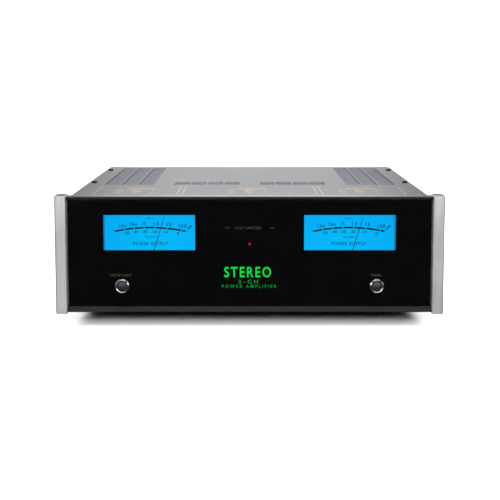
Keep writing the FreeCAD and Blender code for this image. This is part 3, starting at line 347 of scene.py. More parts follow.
def housing_white():
    """White moulding with painted light: a blue tinted base colour and a blue glow stand in for the dial's
    light falling on its walls.
    """
    # painted light: the base colours are tinted blue for the dial's light on the white walls
    look = mottled(
        "housing_white", tone(70, 96, 112), tone(82, 108, 126), 500.0, (0.55, 0.7), relief=0.02 * MM
    )
    look.fixed(Specular_IOR_Level=0.1)
    # painted light: the housing is no lamp; this glow stands in for the dial's light on its walls
    look.glow(look.ramp(look.noise(60.0), (0.3, tone(0, 112, 172)), (0.7, tone(0, 124, 188))), 0.8)
    return look


def dial_blue(name, centre, outward):
    """Back-lit dial film, brightest a little inside its middle and dimmer towards its outer edge."""
    look = Recipe(name, roughness=0.6)
    ball = look.add("ShaderNodeTexGradient", gradient_type="SPHERICAL")
    reach = Vector((0.105, 1.0, 0.052))
    hot = Vector((centre.x - outward * 0.010, 0.0, 0.101))
    scale = tuple(1 / value for value in reach)
    shift = tuple(-value * factor for value, factor in zip(hot, scale))
    look.join(look.mapped(scale, shift), ball.inputs["Vector"])
    cloud = look.noise(26.0, detail=1.0)
    level = look.math("ADD", ball.outputs["Fac"], look.math("MULTIPLY", cloud, 0.06))
    stops = ((0.0, tone(0, 152, 230)), (0.38, tone(0, 177, 248)), (0.8, tone(0, 188, 255)))
    look.glow(look.ramp(level, *stops), 1.02)
    look.fixed(Base_Color=tone(0, 24, 38), Specular_IOR_Level=0.0)
    return look


def dial_ink():
    """Print on the lit dial."""
    look = mottled("dial_ink", tone(4, 22, 44), tone(8, 30, 56), 900.0, (0.6, 0.7))
    look.fixed(Specular_IOR_Level=0.1)
    return look


def dial_ink_light():
    """Finer print, through which the light shows a little."""
    look = mottled("dial_ink_light", tone(2, 26, 54), tone(4, 32, 64), 900.0, (0.6, 0.7))
    look.fixed(Specular_IOR_Level=0.0)
    look.glow(look.ramp(look.noise(700.0), (0.3, tone(0, 40, 84)), (0.7, tone(0, 48, 96))), 1.0)
    return look


def pointer_black():
    return mottled("pointer_black", tone(8, 16, 26), tone(14, 22, 32), 1500.0, (0.4, 0.5))


def movement_steel():
    return mottled(
        "movement_steel", tone(130, 130, 133), tone(158, 158, 160), 600.0, (0.26, 0.4),
        metallic=1.0,
    )


def heatsink_black():
    return mottled(
        "heatsink_black", tone(24, 24, 25), tone(38, 38, 39), 900.0, (0.36, 0.5),
        metallic=0.4, stretch=(1, 1, 0.05), relief=0.01 * MM,
    )


def transformer_steel():
    return mottled(
        "transformer_steel", tone(30, 30, 31), tone(46, 46, 47), 500.0, (0.4, 0.55),
        relief=0.08 * MM,
    )


def capacitor_black():
    return mottled(
        "capacitor_black", tone(24, 25, 28), tone(34, 35, 40), 300.0, (0.22, 0.34),
        cloud=60.0,
    )


def cable_black():
    return mottled(
        "cable_black", tone(20, 20, 20), tone(32, 32, 32), 1200.0, (0.4, 0.55),
        relief=0.03 * MM,
    )


def gold_plate():
    return mottled(
        "gold_plate", tone(214, 172, 92), tone(232, 194, 116), 500.0, (0.16, 0.28),
        metallic=1.0, cloud=80.0,
    )


def knob_black():
    return mottled(
        "knob_black", tone(20, 20, 21), tone(30, 30, 31), 1500.0, (0.24, 0.36),
        relief=0.02 * MM,
    )


def latch_black():
    return mottled(
        "latch_black", tone(28, 28, 29), tone(40, 40, 41), 1500.0, (0.3, 0.42),
        relief=0.02 * MM,
    )


def lit_green(name, colour, edge):
    """Back-lit lettering."""
    look = Recipe(name, roughness=0.5)
    look.glow(look.ramp(look.noise(180.0), (0.3, edge), (0.7, colour)), 1.0)
    look.fixed(Base_Color=tone(2, 20, 6), Specular_IOR_Level=0.0)
    return look


def legend_grey_painted_glow():
    """Dim screen print on the back of the glass, with a weak glow that is painted light: it stands in for
    room light reaching the print through the glass.
    """
    look = mottled("legend_grey_painted_glow", tone(86, 80, 74), tone(104, 98, 90), 800.0, (0.6, 0.7))
    look.fixed(Specular_IOR_Level=0.1)
    # painted light: the print is no lamp; this weak glow stands in for light reaching it through the glass
    look.glow(look.ramp(look.noise(900.0), (0.3, tone(48, 43, 38)), (0.7, tone(57, 51, 45))), 1.0)
    return look


def legend_cream():
    """Screen print on the cover."""
    return mottled(
        "legend_cream", tone(240, 220, 182), tone(250, 232, 198), 900.0, (0.42, 0.52),
        metallic=0.5, relief=0.01 * MM,
    )


def legend_white():
    """Screen print on the rear panel."""
    return mottled(
        "legend_white", tone(196, 196, 194), tone(218, 218, 216), 900.0, (0.5, 0.6),
        relief=0.01 * MM,
    )


def collar_red():
    return mottled(
        "collar_red", tone(140, 18, 16), tone(168, 26, 22), 800.0, (0.3, 0.42),
        relief=0.01 * MM,
    )


def floor_white():
    look = Recipe("floor_white", roughness=1.0)
    look.fixed(Specular_IOR_Level=0.0)
    darker, lighter = (0.895, 0.895, 0.895, 1), (0.905, 0.905, 0.905, 1)
    look.colour(look.ramp(look.noise(6.0), (0.3, darker), (0.7, lighter)))
    return look


# ---------------------------------------------------------------- mesh tools


def piece_from(name, mesh, look, body=CHASSIS):
    """An object at the origin that wears a look and rides on a body."""
    made = bpy.data.objects.new(name, mesh)
    mesh.name = name
    mesh.materials.clear()
    mesh.materials.append(look.material)
    bpy.context.scene.collection.objects.link(made)
    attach(made, body)
    return made


def evaluated(curve, matrix):
    """A curve's or text's surface as a mesh, moved by the matrix."""
    holder = bpy.data.objects.new("holder", curve)
    bpy.context.scene.collection.objects.link(holder)
    graph = bpy.context.evaluated_depsgraph_get()
    mesh = bpy.data.meshes.new_from_object(holder.evaluated_get(graph), depsgraph=graph)
    bpy.data.objects.remove(holder)
    bpy.data.curves.remove(curve)
    mesh.transform(matrix)
    return mesh


def placed(facing, across, up, level):
    """Matrix that puts a flat shape drawn in x and y on the front, the rear or the top of the case."""
    centre = (across, up, level) if facing is FACING_UP else (across, level, up)
    return Matrix.Translation(centre) @ facing


def filled(outlines, thickness, matrix):
    """A flat plate from closed outlines; an outline inside another is a hole."""
    curve = bpy.data.curves.new("filled", "CURVE")
    curve.dimensions = "2D"
    curve.fill_mode = "BOTH"
    curve.extrude = thickness / 2
    for points in outlines:
        spline = curve.splines.new("POLY")
        spline.points.add(len(points) - 1)
        for point, (x, y) in zip(spline.points, points):
            point.co = (x, y, 0, 1)
        spline.use_cyclic_u = True
    return evaluated(curve, matrix)


def rectangle(left, bottom, right, top):
    return [(left, bottom), (right, bottom), (right, top), (left, top)]


def circle(x, y, radius, steps=48):
    return [
        (x + radius * math.cos(step * math.tau / steps), y + radius * math.sin(step * math.tau / steps))
        for step in range(steps)
    ]


def stroke(start, end, width):
    """Outline of a straight bar."""
    along = Vector(end) - Vector(start)
    side = Vector((-along.y, along.x)).normalized() * width / 2
    corners = (Vector(start) - side, Vector(end) - side, Vector(end) + side, Vector(start) + side)
    return [tuple(corner) for corner in corners]


def frame_of(left, bottom, right, top, width):
    """Outer and inner outline of a drawn rectangle."""
    return [
        rectangle(left, bottom, right, top),
        rectangle(left + width, bottom + width, right - width, top - width),
    ]


def lettering(words, height, matrix, width, thickness, bold=0.0, spacing=1.0):
    """Words centred on the matrix, at a cap height and, if it isn't None, a width."""
    curve = bpy.data.curves.new("words", "FONT")
    curve.body = words
    curve.size = 1.0
    curve.space_character = spacing
    curve.offset = bold
    curve.extrude = 0.5
    curve.resolution_u = 3
    mesh = evaluated(curve, Matrix.Identity(4))
    xs = [vertex.co.x for vertex in mesh.vertices]
    ys = [vertex.co.y for vertex in mesh.vertices]
    tall = height / (max(ys) - min(ys))
    wide = width / (max(xs) - min(xs)) if width else tall
    centre = Matrix.Translation((-(max(xs) + min(xs)) / 2, -(max(ys) + min(ys)) / 2, 0))
    mesh.transform(matrix @ Matrix.Diagonal((wide, tall, thickness, 1)) @ centre)
    return mesh


def merged(meshes):
    """One mesh from several."""
    whole = bmesh.new()
    for mesh in meshes:
        whole.from_mesh(mesh)
        bpy.data.meshes.remove(mesh)
    return finished(whole, "merged")


def finished(whole, name):
    """A mesh from a bmesh, which is freed."""
    mesh = bpy.data.meshes.new(name)
    whole.to_mesh(mesh)
    whole.free()
    return mesh


def turned(profile, centre, steps=64):
    """A ring of revolution about a line along y; the profile's points are (radius, y)."""
    whole = bmesh.new()
    rings = []
    for radius, along in profile:
        ring = []
        for step in range(steps):
            angle = step * math.tau / steps
            offset = Vector((radius * math.cos(angle), along, radius * math.sin(angle)))
            ring.append(whole.verts.new(Vector(centre) + offset))
        rings.append(ring)
    for one, two in zip(rings, rings[1:] + rings[:1]):
        for step in range(steps):
            after = (step + 1) % steps
            whole.faces.new((one[step], one[after], two[after], two[step]))
    bmesh.ops.recalc_face_normals(whole, faces=whole.faces)
    mesh = finished(whole, "turned")
    mesh.shade_smooth()
    return mesh


# ---------------------------------------------------------------- front

BUTTONS = ("power_button", "meter_light_button")

MASK_THICKNESS = 0.22 * MM
MASK_GAP = 0.06 * MM
WINDOW_HALF_WIDTH = 52.5 * MM
WINDOW_BOTTOM, WINDOW_TOP = 88.7 * MM, 129.2 * MM
BUTTON_HOLE = 7.3 * MM
LAMP_HOLE = 1.3 * MM
LAMP_ABOVE_LENSES_LOW = 1.0 * MM
BAR_BELOW_LENSES_HIGH = 0.8 * MM
BAR_SPACING = 25.7 * MM
BAR_HALF_WIDTH, BAR_HALF_HEIGHT = 2.45 * MM, 0.85 * MM


def bar_height():
    """Height of the middle of the two bar lamps."""
    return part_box("indicator_lenses")[1].z - BAR_BELOW_LENSES_HIGH


def mask_film(look):
    """Black print on the back of the glass, open at the windows, lamps and buttons."""
    low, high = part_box("glass_mask")
    outlines = [rectangle(low.x, low.z, high.x, high.z)]
    for side in ("left", "right"):
        x = middle("meter_dial_" + side).x
        outlines.append(rectangle(x - WINDOW_HALF_WIDTH, WINDOW_BOTTOM, x + WINDOW_HALF_WIDTH, WINDOW_TOP))
    for button in BUTTONS:
        centre = middle(button)
        outlines.append(circle(centre.x, centre.z, BUTTON_HOLE))
    lamp_x = middle("indicator_lenses").x
    lamp_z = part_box("indicator_lenses")[0].z + LAMP_ABOVE_LENSES_LOW
    outlines.append(circle(lamp_x, lamp_z, LAMP_HOLE, 24))
    bar_low, bar_high = bar_height() - BAR_HALF_HEIGHT, bar_height() + BAR_HALF_HEIGHT
    for side in (-1, 1):
        x = lamp_x + side * BAR_SPACING
        outlines.append(rectangle(x - BAR_HALF_WIDTH, bar_low, x + BAR_HALF_WIDTH, bar_high))
    matrix = placed(FACING_FRONT, 0, 0, low.y + MASK_GAP + MASK_THICKNESS / 2)
    film = piece_from("mask_film", filled(outlines, MASK_THICKNESS, matrix), look)
    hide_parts("glass_mask")


def button_coils(look):
    """Return spring behind each button, copied from the part's spring onto the chassis; the copy keeps its
    length when the button moves.
    """
    for button in BUTTONS:
        node = button + "_spring"
        coil = piece_from(button + "_coil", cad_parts[node].data.copy(), look)
        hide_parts(node)
        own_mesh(coil)


# words, shift right and up from the light box's middle, height and width in mm, boldness, letter spacing
TITLE = ("STEREO", -2.2, 5.2, 12.4, 54.0, 0.015, 1.25)
LINES = (
    ("2-CH", -1.6, -5.8, 4.3, 22.5, 0.02, 1.6),
    ("POWER AMPLIFIER", -0.4, -11.3, 3.9, 63.0, 0.012, 1.6),
)
# words, button, shift right and width in mm
BUTTON_LEGENDS = (
    ("METER LIGHT", "meter_light_button", -1.4, 24.5),
    ("POWER", "power_button", -0.3, 11.8),
)
LEGEND_ABOVE_BUTTON = 12.1 * MM
LEGEND_HEIGHT = 3.1


def front_words(title_look, line_look, legend_look):
    """Back-lit name of the unit and the small legends, all generic words."""
    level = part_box("glass_mask")[0].y + PRINT_LIFT
    box = middle("logo_light_box")

    def words(text, x, z, height, width, bold=0.0, spacing=1.0):
        matrix = placed(FACING_FRONT, x, z, level)
        return lettering(text, height * MM, matrix, width * MM, PRINT_FILM, bold, spacing)

    def lit(text, right, up, *sizes):
        return words(text, box.x + right * MM, box.z + up * MM, *sizes)

    piece_from("title_lit", lit(*TITLE), title_look)
    piece_from("lines_lit", merged([lit(*line) for line in LINES]), line_look)
    legends = []
    for text, button, right, width in BUTTON_LEGENDS:
        centre = middle(button)
        legends.append(
            words(text, centre.x + right * MM, centre.z + LEGEND_ABOVE_BUTTON, LEGEND_HEIGHT, width)
        )
    legends.append(words("CLIP LIMITER", box.x - 1.6 * MM, bar_height() - 0.3 * MM, LEGEND_HEIGHT, 30.4))
    piece_from("front_legends", merged(legends), legend_look)


# Dial print: places are right of the dial's middle and above its datum, in mm.
DATUM_ABOVE_DIAL_LOW = 38.0 * MM
DIAL_FILM = 0.05 * MM
DIAL_LIFT = 0.06 * MM
ARC_RADIUS = 192.0 * MM
ARC_TOP = 12.8 * MM
ARC_WIDTH = 2.0 * MM
ARC_STEPS = 8
ARC_HALF_GAP = 0.6
ARC_BREAKS = (-41.4, -30.0, -18.7, -7.0, 5.5, 19.5, 36.3, 41.3)
# start, as a distance from the arc's middle; run, rise, width
END_TICKS = ((ARC_BREAKS[0] + 0.5, -2.6, 2.2, 0.6), (ARC_BREAKS[-1] - 0.4, 7.0, 7.2, 0.5))
WATT_HEIGHT, WATT_BOLD = 4.0, 0.012
# words, place right and up, width
WATT_MARKS = (
    ("1.5m", -32.0, 14.9, 8.6), ("15m", -19.4, 16.7, 8.2), (".15", -7.7, 17.3, 5.2),
    ("1.5", 6.9, 17.3, 6.0), ("15", 21.8, 16.3, 5.4), ("150", 37.6, 14.5, 8.8),
)
DECIBEL_HEIGHT = 3.2
DECIBEL_MARKS = (
    ("-50", -27.5, 6.6, 6.4), ("-40", -16.9, 7.8, 6.4), ("-30", -6.7, 8.0, 6.4),
    ("-20", 4.6, 8.0, 6.4), ("-10", 17.4, 7.8, 6.4), ("0", 32.2, 5.8, 2.6),
)
# words, place right and up, height, width, turn in degrees, letter spacing
DIAL_WORDS = (
    ("300", 46.0, 13.2, 2.8, 6.0, 45.0, 1.0),
    ("WATTS", 0.0, 23.0, 2.0, 8.4, 0.0, 1.2),
    ("DECIBELS", 0.4, 1.7, 2.0, 12.8, 0.0, 1.2),
    ("POWER OUTPUT", 0.4, -6.0, 3.7, 40.2, 0.0, 1.3),
)
DIAL_BOLD = 0.01


def arc_bar(x_centre, top, start, end):
    """One bar of the scale between two distances from its middle."""
    drop = top - ARC_RADIUS
    outer, inner = ARC_RADIUS + ARC_WIDTH / 2, ARC_RADIUS - ARC_WIDTH / 2
    angles = [
        math.asin((start + (end - start) * step / ARC_STEPS) / ARC_RADIUS) for step in range(ARC_STEPS + 1)
    ]
    there = [(x_centre + outer * math.sin(a), drop + outer * math.cos(a)) for a in angles]
    back = [(x_centre + inner * math.sin(a), drop + inner * math.cos(a)) for a in reversed(angles)]
    return there + back


def end_tick(x_centre, top, start, run, rise, width):
    """Slanted line that leaves the arc at one of its ends."""
    x = start * MM
    foot = (x_centre + x, top - ARC_RADIUS + math.sqrt(ARC_RADIUS**2 - x**2))
    return stroke(foot, (foot[0] + run * MM, foot[1] + rise * MM), width * MM)


def dial_print(side, ink, light_ink):
    """Scale bars, end ticks and figures on one dial."""
    low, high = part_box("meter_dial_" + side)
    x_centre = (low.x + high.x) / 2
    datum = low.z + DATUM_ABOVE_DIAL_LOW
    level = low.y - DIAL_LIFT
    flat = placed(FACING_FRONT, 0, 0, level)
    top = datum + ARC_TOP

    def drawn(outline):
        return filled([outline], DIAL_FILM, flat)

    def words(text, x, z, height, width, turn=0.0, bold=DIAL_BOLD, spacing=1.0):
        matrix = placed(FACING_FRONT, x_centre + x * MM, datum + z * MM, level)
        matrix = matrix @ Matrix.Rotation(math.radians(turn), 4, "Z")
        return lettering(text, height * MM, matrix, width * MM, DIAL_FILM, bold, spacing)

    bars = [
        drawn(arc_bar(x_centre, top, (start + ARC_HALF_GAP) * MM, (end - ARC_HALF_GAP) * MM))
        for start, end in zip(ARC_BREAKS, ARC_BREAKS[1:])
    ]
    piece_from("dial_scale_" + side, merged(bars), ink)
    fine = [drawn(end_tick(x_centre, top, *tick)) for tick in END_TICKS]
    fine += [words(text, x, z, WATT_HEIGHT, width, bold=WATT_BOLD) for text, x, z, width in WATT_MARKS]
    fine += [words(text, x, z, DECIBEL_HEIGHT, width) for text, x, z, width in DECIBEL_MARKS]
    fine += [
        words(text, x, z, height, width, turn, spacing=spacing)
        for text, x, z, height, width, turn, spacing in DIAL_WORDS
    ]
    piece_from("dial_figures_" + side, merged(fine), light_ink)


# ---------------------------------------------------------------- top

VENT_HALF_WIDTH = 9.9 * MM
VENT_FRONT = -89.0 * MM
VENT_MARGIN = 1 * MM
LONG_VENTS, LONG_VENT_BACK = (130.2, 151.2, 172.2), 191.0 * MM
SHORT_VENTS, SHORT_VENT_BACK = (22.0, 43.0, 64.0, 85.0), -47.3 * MM
HOLE_PITCH, HOLE_RADIUS, HOLE_STEPS = 3.3 * MM, 1.08 * MM, 8
ROW_SHIFT = 0.15


def punched_cell(whole, corner, size, shift, depth):
    """One rectangle of sheet with a hole through it, moved sideways by a share of its width."""
    middle_of_cell = corner + Vector((size.x / 2, size.y / 2, 0))
    hole_centre = corner + Vector((size.x * (0.5 + shift), size.y / 2, 0))
    rim, lip, foot = [], [], []
    for step in range(HOLE_STEPS):
        angle = (step + 0.5) * math.tau / HOLE_STEPS
        ray = Vector((math.cos(angle), math.sin(angle), 0))
        square = ray / max(abs(ray.x), abs(ray.y))
        edge = Vector((square.x * size.x / 2, square.y * size.y / 2, 0))
        rim.append(whole.verts.new(middle_of_cell + edge))
        lip.append(whole.verts.new(hole_centre + ray * HOLE_RADIUS))
        foot.append(whole.verts.new(hole_centre + ray * HOLE_RADIUS - Vector((0, 0, depth))))
    for step in range(HOLE_STEPS):
        after = (step + 1) % HOLE_STEPS
        whole.faces.new((rim[step], rim[after], lip[after], lip[step]))
        whole.faces.new((lip[step], lip[after], foot[after], foot[step]))


def punched_strip(whole, x_middle, back, top, depth):
    """Perforated sheet under one slot, its rows staggered."""
    columns = round(2 * VENT_HALF_WIDTH / HOLE_PITCH)
    length = back - VENT_FRONT + 2 * VENT_MARGIN
    rows = round(length / (HOLE_PITCH * math.sqrt(3) / 2))
    size = Vector((2 * VENT_HALF_WIDTH / columns, length / rows))
    for row in range(rows):
        shift = ROW_SHIFT if row % 2 else -ROW_SHIFT
        for column in range(columns):
            left = x_middle - VENT_HALF_WIDTH + column * size.x
            near = VENT_FRONT - VENT_MARGIN + row * size.y
            punched_cell(whole, Vector((left, near, top)), size, shift, depth)


def perforated_vents(look):
    """Punched sheet under every slot of the cover."""
    low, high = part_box("vent_screens")
    whole = bmesh.new()
    for places, back in ((LONG_VENTS, LONG_VENT_BACK), (SHORT_VENTS, SHORT_VENT_BACK)):
        for x in places:
            for side in (-1, 1):
                punched_strip(whole, side * x * MM, back, high.z, high.z - low.z)
    screens = piece_from("vent_screen_sheets", finished(whole, "vents"), look)
    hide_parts("vent_screens")


PANEL_LINES = (-181.1, -84.4, -78.1, 78.1, 84.4, 181.1)
PANEL_LINE_WIDTH = 1.0
PANEL_LINE_NEAR, PANEL_LINE_FAR = 2.5 * MM, 119.0 * MM
SKETCH_PLACES = (-133.5, 0.0, 131.0)
SKETCH_NEAR = 18 * MM


def cover_print(look):
    """Panel lines and three small wiring sketches behind the front rail."""
    low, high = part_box("top_cover")
    level = high.z + PRINT_LIFT
    flat = placed(FACING_UP, 0, 0, level)
    meshes = []
    for x in PANEL_LINES:
        left, right = (x - PANEL_LINE_WIDTH / 2) * MM, (x + PANEL_LINE_WIDTH / 2) * MM
        bar = rectangle(left, low.y + PANEL_LINE_NEAR, right, low.y + PANEL_LINE_FAR)
        meshes.append(filled([bar], PRINT_FILM, flat))
    for x in SKETCH_PLACES:
        meshes += wiring_sketch(x * MM, low.y + SKETCH_NEAR, level)
    piece_from("cover_legends", merged(meshes), look)


SKETCH_LINE = 1.0
SKETCH_ROWS = (49, 35, 21, 7)
# the words of each row, left and right of the symbol, with their widths in mm
SKETCH_LEFT = (("LEFT", 10), ("INPUT", 9), ("RIGHT", 10), ("INPUT", 9))
SKETCH_RIGHT = (("OUT", 6), ("L", 2), ("OUT", 6), ("R", 2))
SKETCH_POLES = (("-", 1.6), ("+", 5.0), ("-", 1.6), ("+", 5.0))


def wiring_sketch(x, y, level):
    """Title, an amplifier symbol with its leads, and columns of short words; places are in mm."""
    flat = placed(FACING_UP, x, y, level) @ Matrix.Diagonal((MM, MM, 1, 1))

    def words(text, right, up, height, width):
        matrix = placed(FACING_UP, x + right * MM, y + up * MM, level)
        return lettering(text, height * MM, matrix, width * MM, PRINT_FILM, 0.03)

    def drawn(outlines):
        return filled(outlines, PRINT_FILM, flat)

    meshes = [
        words("STEREO", 3, 66, 11.0, 35),
        drawn(frame_of(-5, 4, 2, 49, SKETCH_LINE)),
        drawn([[(-3.4, 28), (1.2, 36), (-3.4, 44)]]),
        words("2", -1.5, 15, 8.0, 3.4),
        drawn([stroke((-15, 52), (-5, 40), SKETCH_LINE)]),
        drawn([stroke((2, 40), (15, 52), SKETCH_LINE)]),
        drawn([stroke((2.8, 16), (5.5, 16), 3)]),
        drawn([stroke((2.8, 30), (5.5, 30), 3)]),
    ]
    for up, left, right, pole in zip(SKETCH_ROWS, SKETCH_LEFT, SKETCH_RIGHT, SKETCH_POLES):
        meshes.append(words(left[0], -21, up, 7.0, left[1]))
        meshes.append(words(right[0], 19, up, 7.0, right[1]))
        meshes.append(words(pole[0], 25.5, up, pole[1], 3.0))
    return meshes


# ---------------------------------------------------------------- rear

REAR_WORD_HEIGHT = 3.2


def rear_print(look):
    """Names of the sockets, all generic."""
    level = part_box("rear_panel")[1].y + PRINT_LIFT
    names = []

    def words(text, x, z, height=REAR_WORD_HEIGHT):
        matrix = placed(FACING_REAR, x, z, level)
        names.append(lettering(text, height * MM, matrix, None, PRINT_FILM, spacing=1.1))

    for side in ("left", "right"):
        plus, minus = middle(f"terminal_knob_{side}_plus"), middle(f"terminal_knob_{side}_minus")
        centre = (plus.x + minus.x) / 2
        words(side.upper() + " OUTPUT", centre, plus.z + 19 * MM)
        words("+", plus.x, plus.z - 15 * MM, 3.4)
        words("-", minus.x, minus.z - 15 * MM, 0.6)
        words("4 - 8 OHMS", centre, plus.z - 22 * MM, 2.6)
    phono_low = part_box("rca_jacks")[0].z
    for side in ("left", "right"):
        x = middle("xlr_latch_" + side).x
        words(side.upper(), x, 84.0 * MM, 2.8)
        words(side.upper(), x, phono_low - 5 * MM, 2.8)
    pair = (middle("xlr_latch_left").x + middle("xlr_latch_right").x) / 2
    words("BALANCED INPUTS", pair, 127.5 * MM)
    words("UNBALANCED INPUTS", pair, 68.5 * MM)
    low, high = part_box("trigger_jacks")
    jack_x = middle("trigger_jacks").x
    words("TRIGGER IN", jack_x, high.z + 4.6 * MM, 2.4)
    words("TRIGGER OUT", jack_x, low.z - 4.6 * MM, 2.4)
    switch = middle("mode_switch")
    words("STEREO", switch.x, switch.z + 14.4 * MM, 2.2)
    words("MONO", switch.x, switch.z - 14.4 * MM, 2.2)
    fuse = middle("fuse_holder")
    words("FUSE", fuse.x, fuse.z + 13 * MM, 2.8)
    inlet = middle("mains_inlet")
    words("AC POWER IN", inlet.x, inlet.z + 17 * MM, 2.8)
    piece_from("rear_legends", merged(names), look)


COLLAR_FROM_KNOB_END = 6.0 * MM
# radius and distance along the knob in mm
COLLAR_PROFILE = ((8.02, 1.2), (8.25, 1.5), (8.3, 2.4), (8.25, 3.3), (8.02, 3.6))


def terminal_rings(red, black):
    """Coloured collar on each terminal knob: red for plus, black for minus."""
    profile = [(radius * MM, along * MM) for radius, along in COLLAR_PROFILE]
    for side in ("left", "right"):
        for pole, look in (("plus", red), ("minus", black)):
            low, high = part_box(f"terminal_knob_{side}_{pole}")
            centre = ((low.x + high.x) / 2, high.y - COLLAR_FROM_KNOB_END, (low.z + high.z) / 2)
            name = f"terminal_collar_{side}_{pole}"
            piece_from(name, turned(profile, centre), look, f"knob_{side}_{pole}")


# ---------------------------------------------------------------- stage

FLOOR_REACH = 12.0


def floor(look):
    """A wide plain floor that glass and metal don't mirror, and that lamps below it shine through."""
    mesh = bpy.data.meshes.new("floor")
    low, high = -FLOOR_REACH, FLOOR_REACH
    mesh.from_pydata([(low, low, 0), (high, low, 0), (high, high, 0), (low, high, 0)], [], [(0, 1, 2, 3)])
    made = bpy.data.objects.new("floor", mesh)
    mesh.materials.append(look.material)
    bpy.context.scene.collection.objects.link(made)
    made.visible_glossy = False
    made.visible_transmission = False
    made.visible_shadow = False
    return made


def aimed(location, target):
    """Rotation that points a lamp from one place to another."""
    return (Vector(target) - Vector(location)).to_track_quat("-Z", "Y").to_euler()


def soft_light(receivers, name, location, target, size, power):
    """A rectangular lamp that lights only one group of objects."""
    lamp = bpy.data.lights.new(name, "AREA")
    lamp.shape = "RECTANGLE"
    lamp.size, lamp.size_y = size
    lamp.energy = power
    made = bpy.data.objects.new(name, lamp)
    made.location = location
    made.rotation_euler = aimed(location, target)
    made.visible_camera = False
    bpy.context.scene.collection.objects.link(made)
    made.light_linking.receiver_collection = receivers


def floor_sun(receivers, name, azimuth, elevation, spread, strength):
    """Broad daylight on the floor alone; azimuth 0 is in front of the case and 90 at its left."""
    lamp = bpy.data.lights.new(name, "SUN")
    lamp.energy = strength
    lamp.angle = math.radians(spread)
    made = bpy.data.objects.new(name, lamp)
    up, around = math.radians(elevation), math.radians(azimuth)
    level = math.cos(up)
    source = (-level * math.sin(around), -level * math.cos(around), math.sin(up))
    made.rotation_euler = aimed(source, (0, 0, 0))
    bpy.context.scene.collection.objects.link(made)
    made.light_linking.receiver_collection = receivers


def room():
    """White to the camera, dim to everything else."""
    world = bpy.data.worlds.new("room")
    world.use_nodes = True
    tree = world.node_tree
    dim = tree.nodes["Background"]
    dim.inputs["Color"].default_value = (0.92, 0.95, 1.0, 1)
    dim.inputs["Strength"].default_value = 0.03
    white = tree.nodes.new("ShaderNodeBackground")
    white.inputs["Color"].default_value = (1, 1, 1, 1)
    white.inputs["Strength"].default_value = 1.02
    rays = tree.nodes.new("ShaderNodeLightPath")
    choice = tree.nodes.new("ShaderNodeMixShader")
    tree.links.new(rays.outputs["Is Camera Ray"], choice.inputs["Fac"])
    tree.links.new(dim.outputs["Background"], choice.inputs[1])
    tree.links.new(white.outputs["Background"], choice.inputs[2])
    tree.links.new(choice.outputs["Shader"], tree.nodes["World Output"].inputs["Surface"])
    bpy.context.scene.world = world


# name, azimuth, elevation and spread in degrees, strength
SUNS = (
    ("floor_low", 0.0, 18.0, 12.0, 3.3),
    ("floor_high", 0.0, 40.0, 50.0, 3.8),
    ("floor_left", 104.0, 62.0, 44.0, 1.5),
    ("floor_right", -104.0, 62.0, 44.0, 1.5),
    ("floor_back", 180.0, 40.0, 40.0, 3.2),
)
# name, place, target, size, power
SOFT_LIGHTS = (
    ("front_soft", (0, -2.3, 1.5), (0, -0.2, 0.1), (2.6, 0.9), 17.0),
    ("top_soft", (0, 0.1, 1.9), (0, 0, 0.1), (2.2, 1.6), 15.0),
    ("rear_soft", (0, 2.6, 0.75), (0, 0, 0.15), (0.95, 0.7), 4.9),
    ("rear_low", (0, 1.9, 0.09), (0, 0.2, 0.08), (1.9, 0.1), 9.0),
    ("left_soft", (-2.4, -0.3, 0.9), (0, 0, 0.08), (1.0, 0.9), 9.0),
    ("right_soft", (2.4, -0.3, 0.9), (0, 0, 0.08), (1.0, 0.9), 9.0),
    ("left_strip", (-0.44, -1.05, 0.36), (-0.215, -0.245, 0.12), (0.24, 0.2), 2.65),
    ("right_strip", (0.44, -1.05, 0.36), (0.215, -0.245, 0.12), (0.24, 0.2), 2.5),
)
# the pale floor's reflection in the foot of each end cap
CAP_LIGHTS = (
    ("left_foot", (-0.25, -0.75, -0.08), (-0.215, -0.245, 0.02), (0.16, 0.06), 0.08),
    ("right_foot", (0.25, -0.75, -0.08), (0.215, -0.245, 0.02), (0.16, 0.06), 0.05),
)


def group_of(name, *members):
    """A collection that says what a lamp lights."""
    group = bpy.data.collections.new(name)
    for member in members:
        group.objects.link(member)
    return group


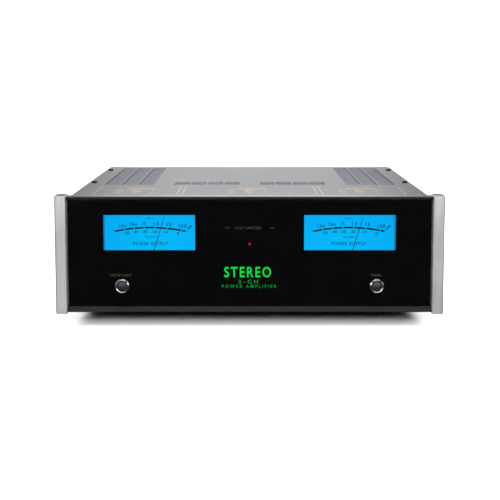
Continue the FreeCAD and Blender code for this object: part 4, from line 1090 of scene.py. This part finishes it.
def lights(ground):
    floor_alone = group_of("floor_alone", ground)
    floor_left_out = group_of("floor_left_out", ground)
    floor_left_out.collection_objects[0].light_linking.link_state = "EXCLUDE"
    caps = [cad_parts["end_cap_" + side] for side in ("left", "right")]
    caps_alone = group_of("caps_alone", *caps)
    for row in SUNS:
        floor_sun(floor_alone, *row)
    for row in SOFT_LIGHTS:
        soft_light(floor_left_out, *row)
    for row in CAP_LIGHTS:
        soft_light(caps_alone, *row)


LENS_LENGTH, SENSOR_WIDTH = 96.2, 36.0
CAMERA_PLACE = (0.0005, -1.7532, 0.2973)
CAMERA_TILT = 82.19


def camera():
    lens = bpy.data.cameras.new("camera")
    lens.lens = LENS_LENGTH
    lens.sensor_width = SENSOR_WIDTH
    made = bpy.data.objects.new("camera", lens)
    made.location = CAMERA_PLACE
    made.rotation_euler = (math.radians(CAMERA_TILT), 0, 0)
    bpy.context.scene.collection.objects.link(made)
    bpy.context.scene.camera = made


def dress_nodes(looks):
    """Every CAD node takes its slots' looks; the top rail and the dials have their own."""
    own = {"top_rail": rail_black_painted_highlight()}
    for side, outward in (("left", -1), ("right", 1)):
        dial = "meter_dial_" + side
        own[dial] = dial_blue("dial_" + side, middle(dial), outward)
    for name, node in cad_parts.items():
        for slot in node.material_slots:
            look = own.get(name) or looks[slot.material.name.split(".")[0]]
            slot.material = look.material


def build():
    makers = (
        satin_aluminium, black_anodised, clear_glass, black_mask, cover_grey, chassis_black, screen_grey,
        black_screw, zinc_steel, rubber_black, bezel_chrome, button_dark_chrome, spring_steel,
        black_plastic, circuit_board, red_lens, light_guide, housing_white, pointer_black, movement_steel,
        heatsink_black, transformer_steel, capacitor_black, cable_black, gold_plate, knob_black, latch_black,
    )
    looks = {maker.__name__: maker() for maker in makers}
    camera()
    room()
    lights(floor(floor_white()))
    dress_nodes(looks)
    mask_film(looks["black_mask"])
    button_coils(looks["spring_steel"])
    title_look = lit_green("title_green", tone(8, 240, 74), tone(6, 230, 68))
    line_look = lit_green("line_green", tone(12, 160, 56), tone(10, 146, 50))
    front_words(title_look, line_look, legend_grey_painted_glow())
    ink, light_ink = dial_ink(), dial_ink_light()
    for side in ("left", "right"):
        dial_print(side, ink, light_ink)
    perforated_vents(looks["screen_grey"])
    cover_print(legend_cream())
    rear_print(legend_white())
    terminal_rings(collar_red(), looks["knob_black"])
    bpy.context.scene.view_settings.view_transform = "Standard"


build()
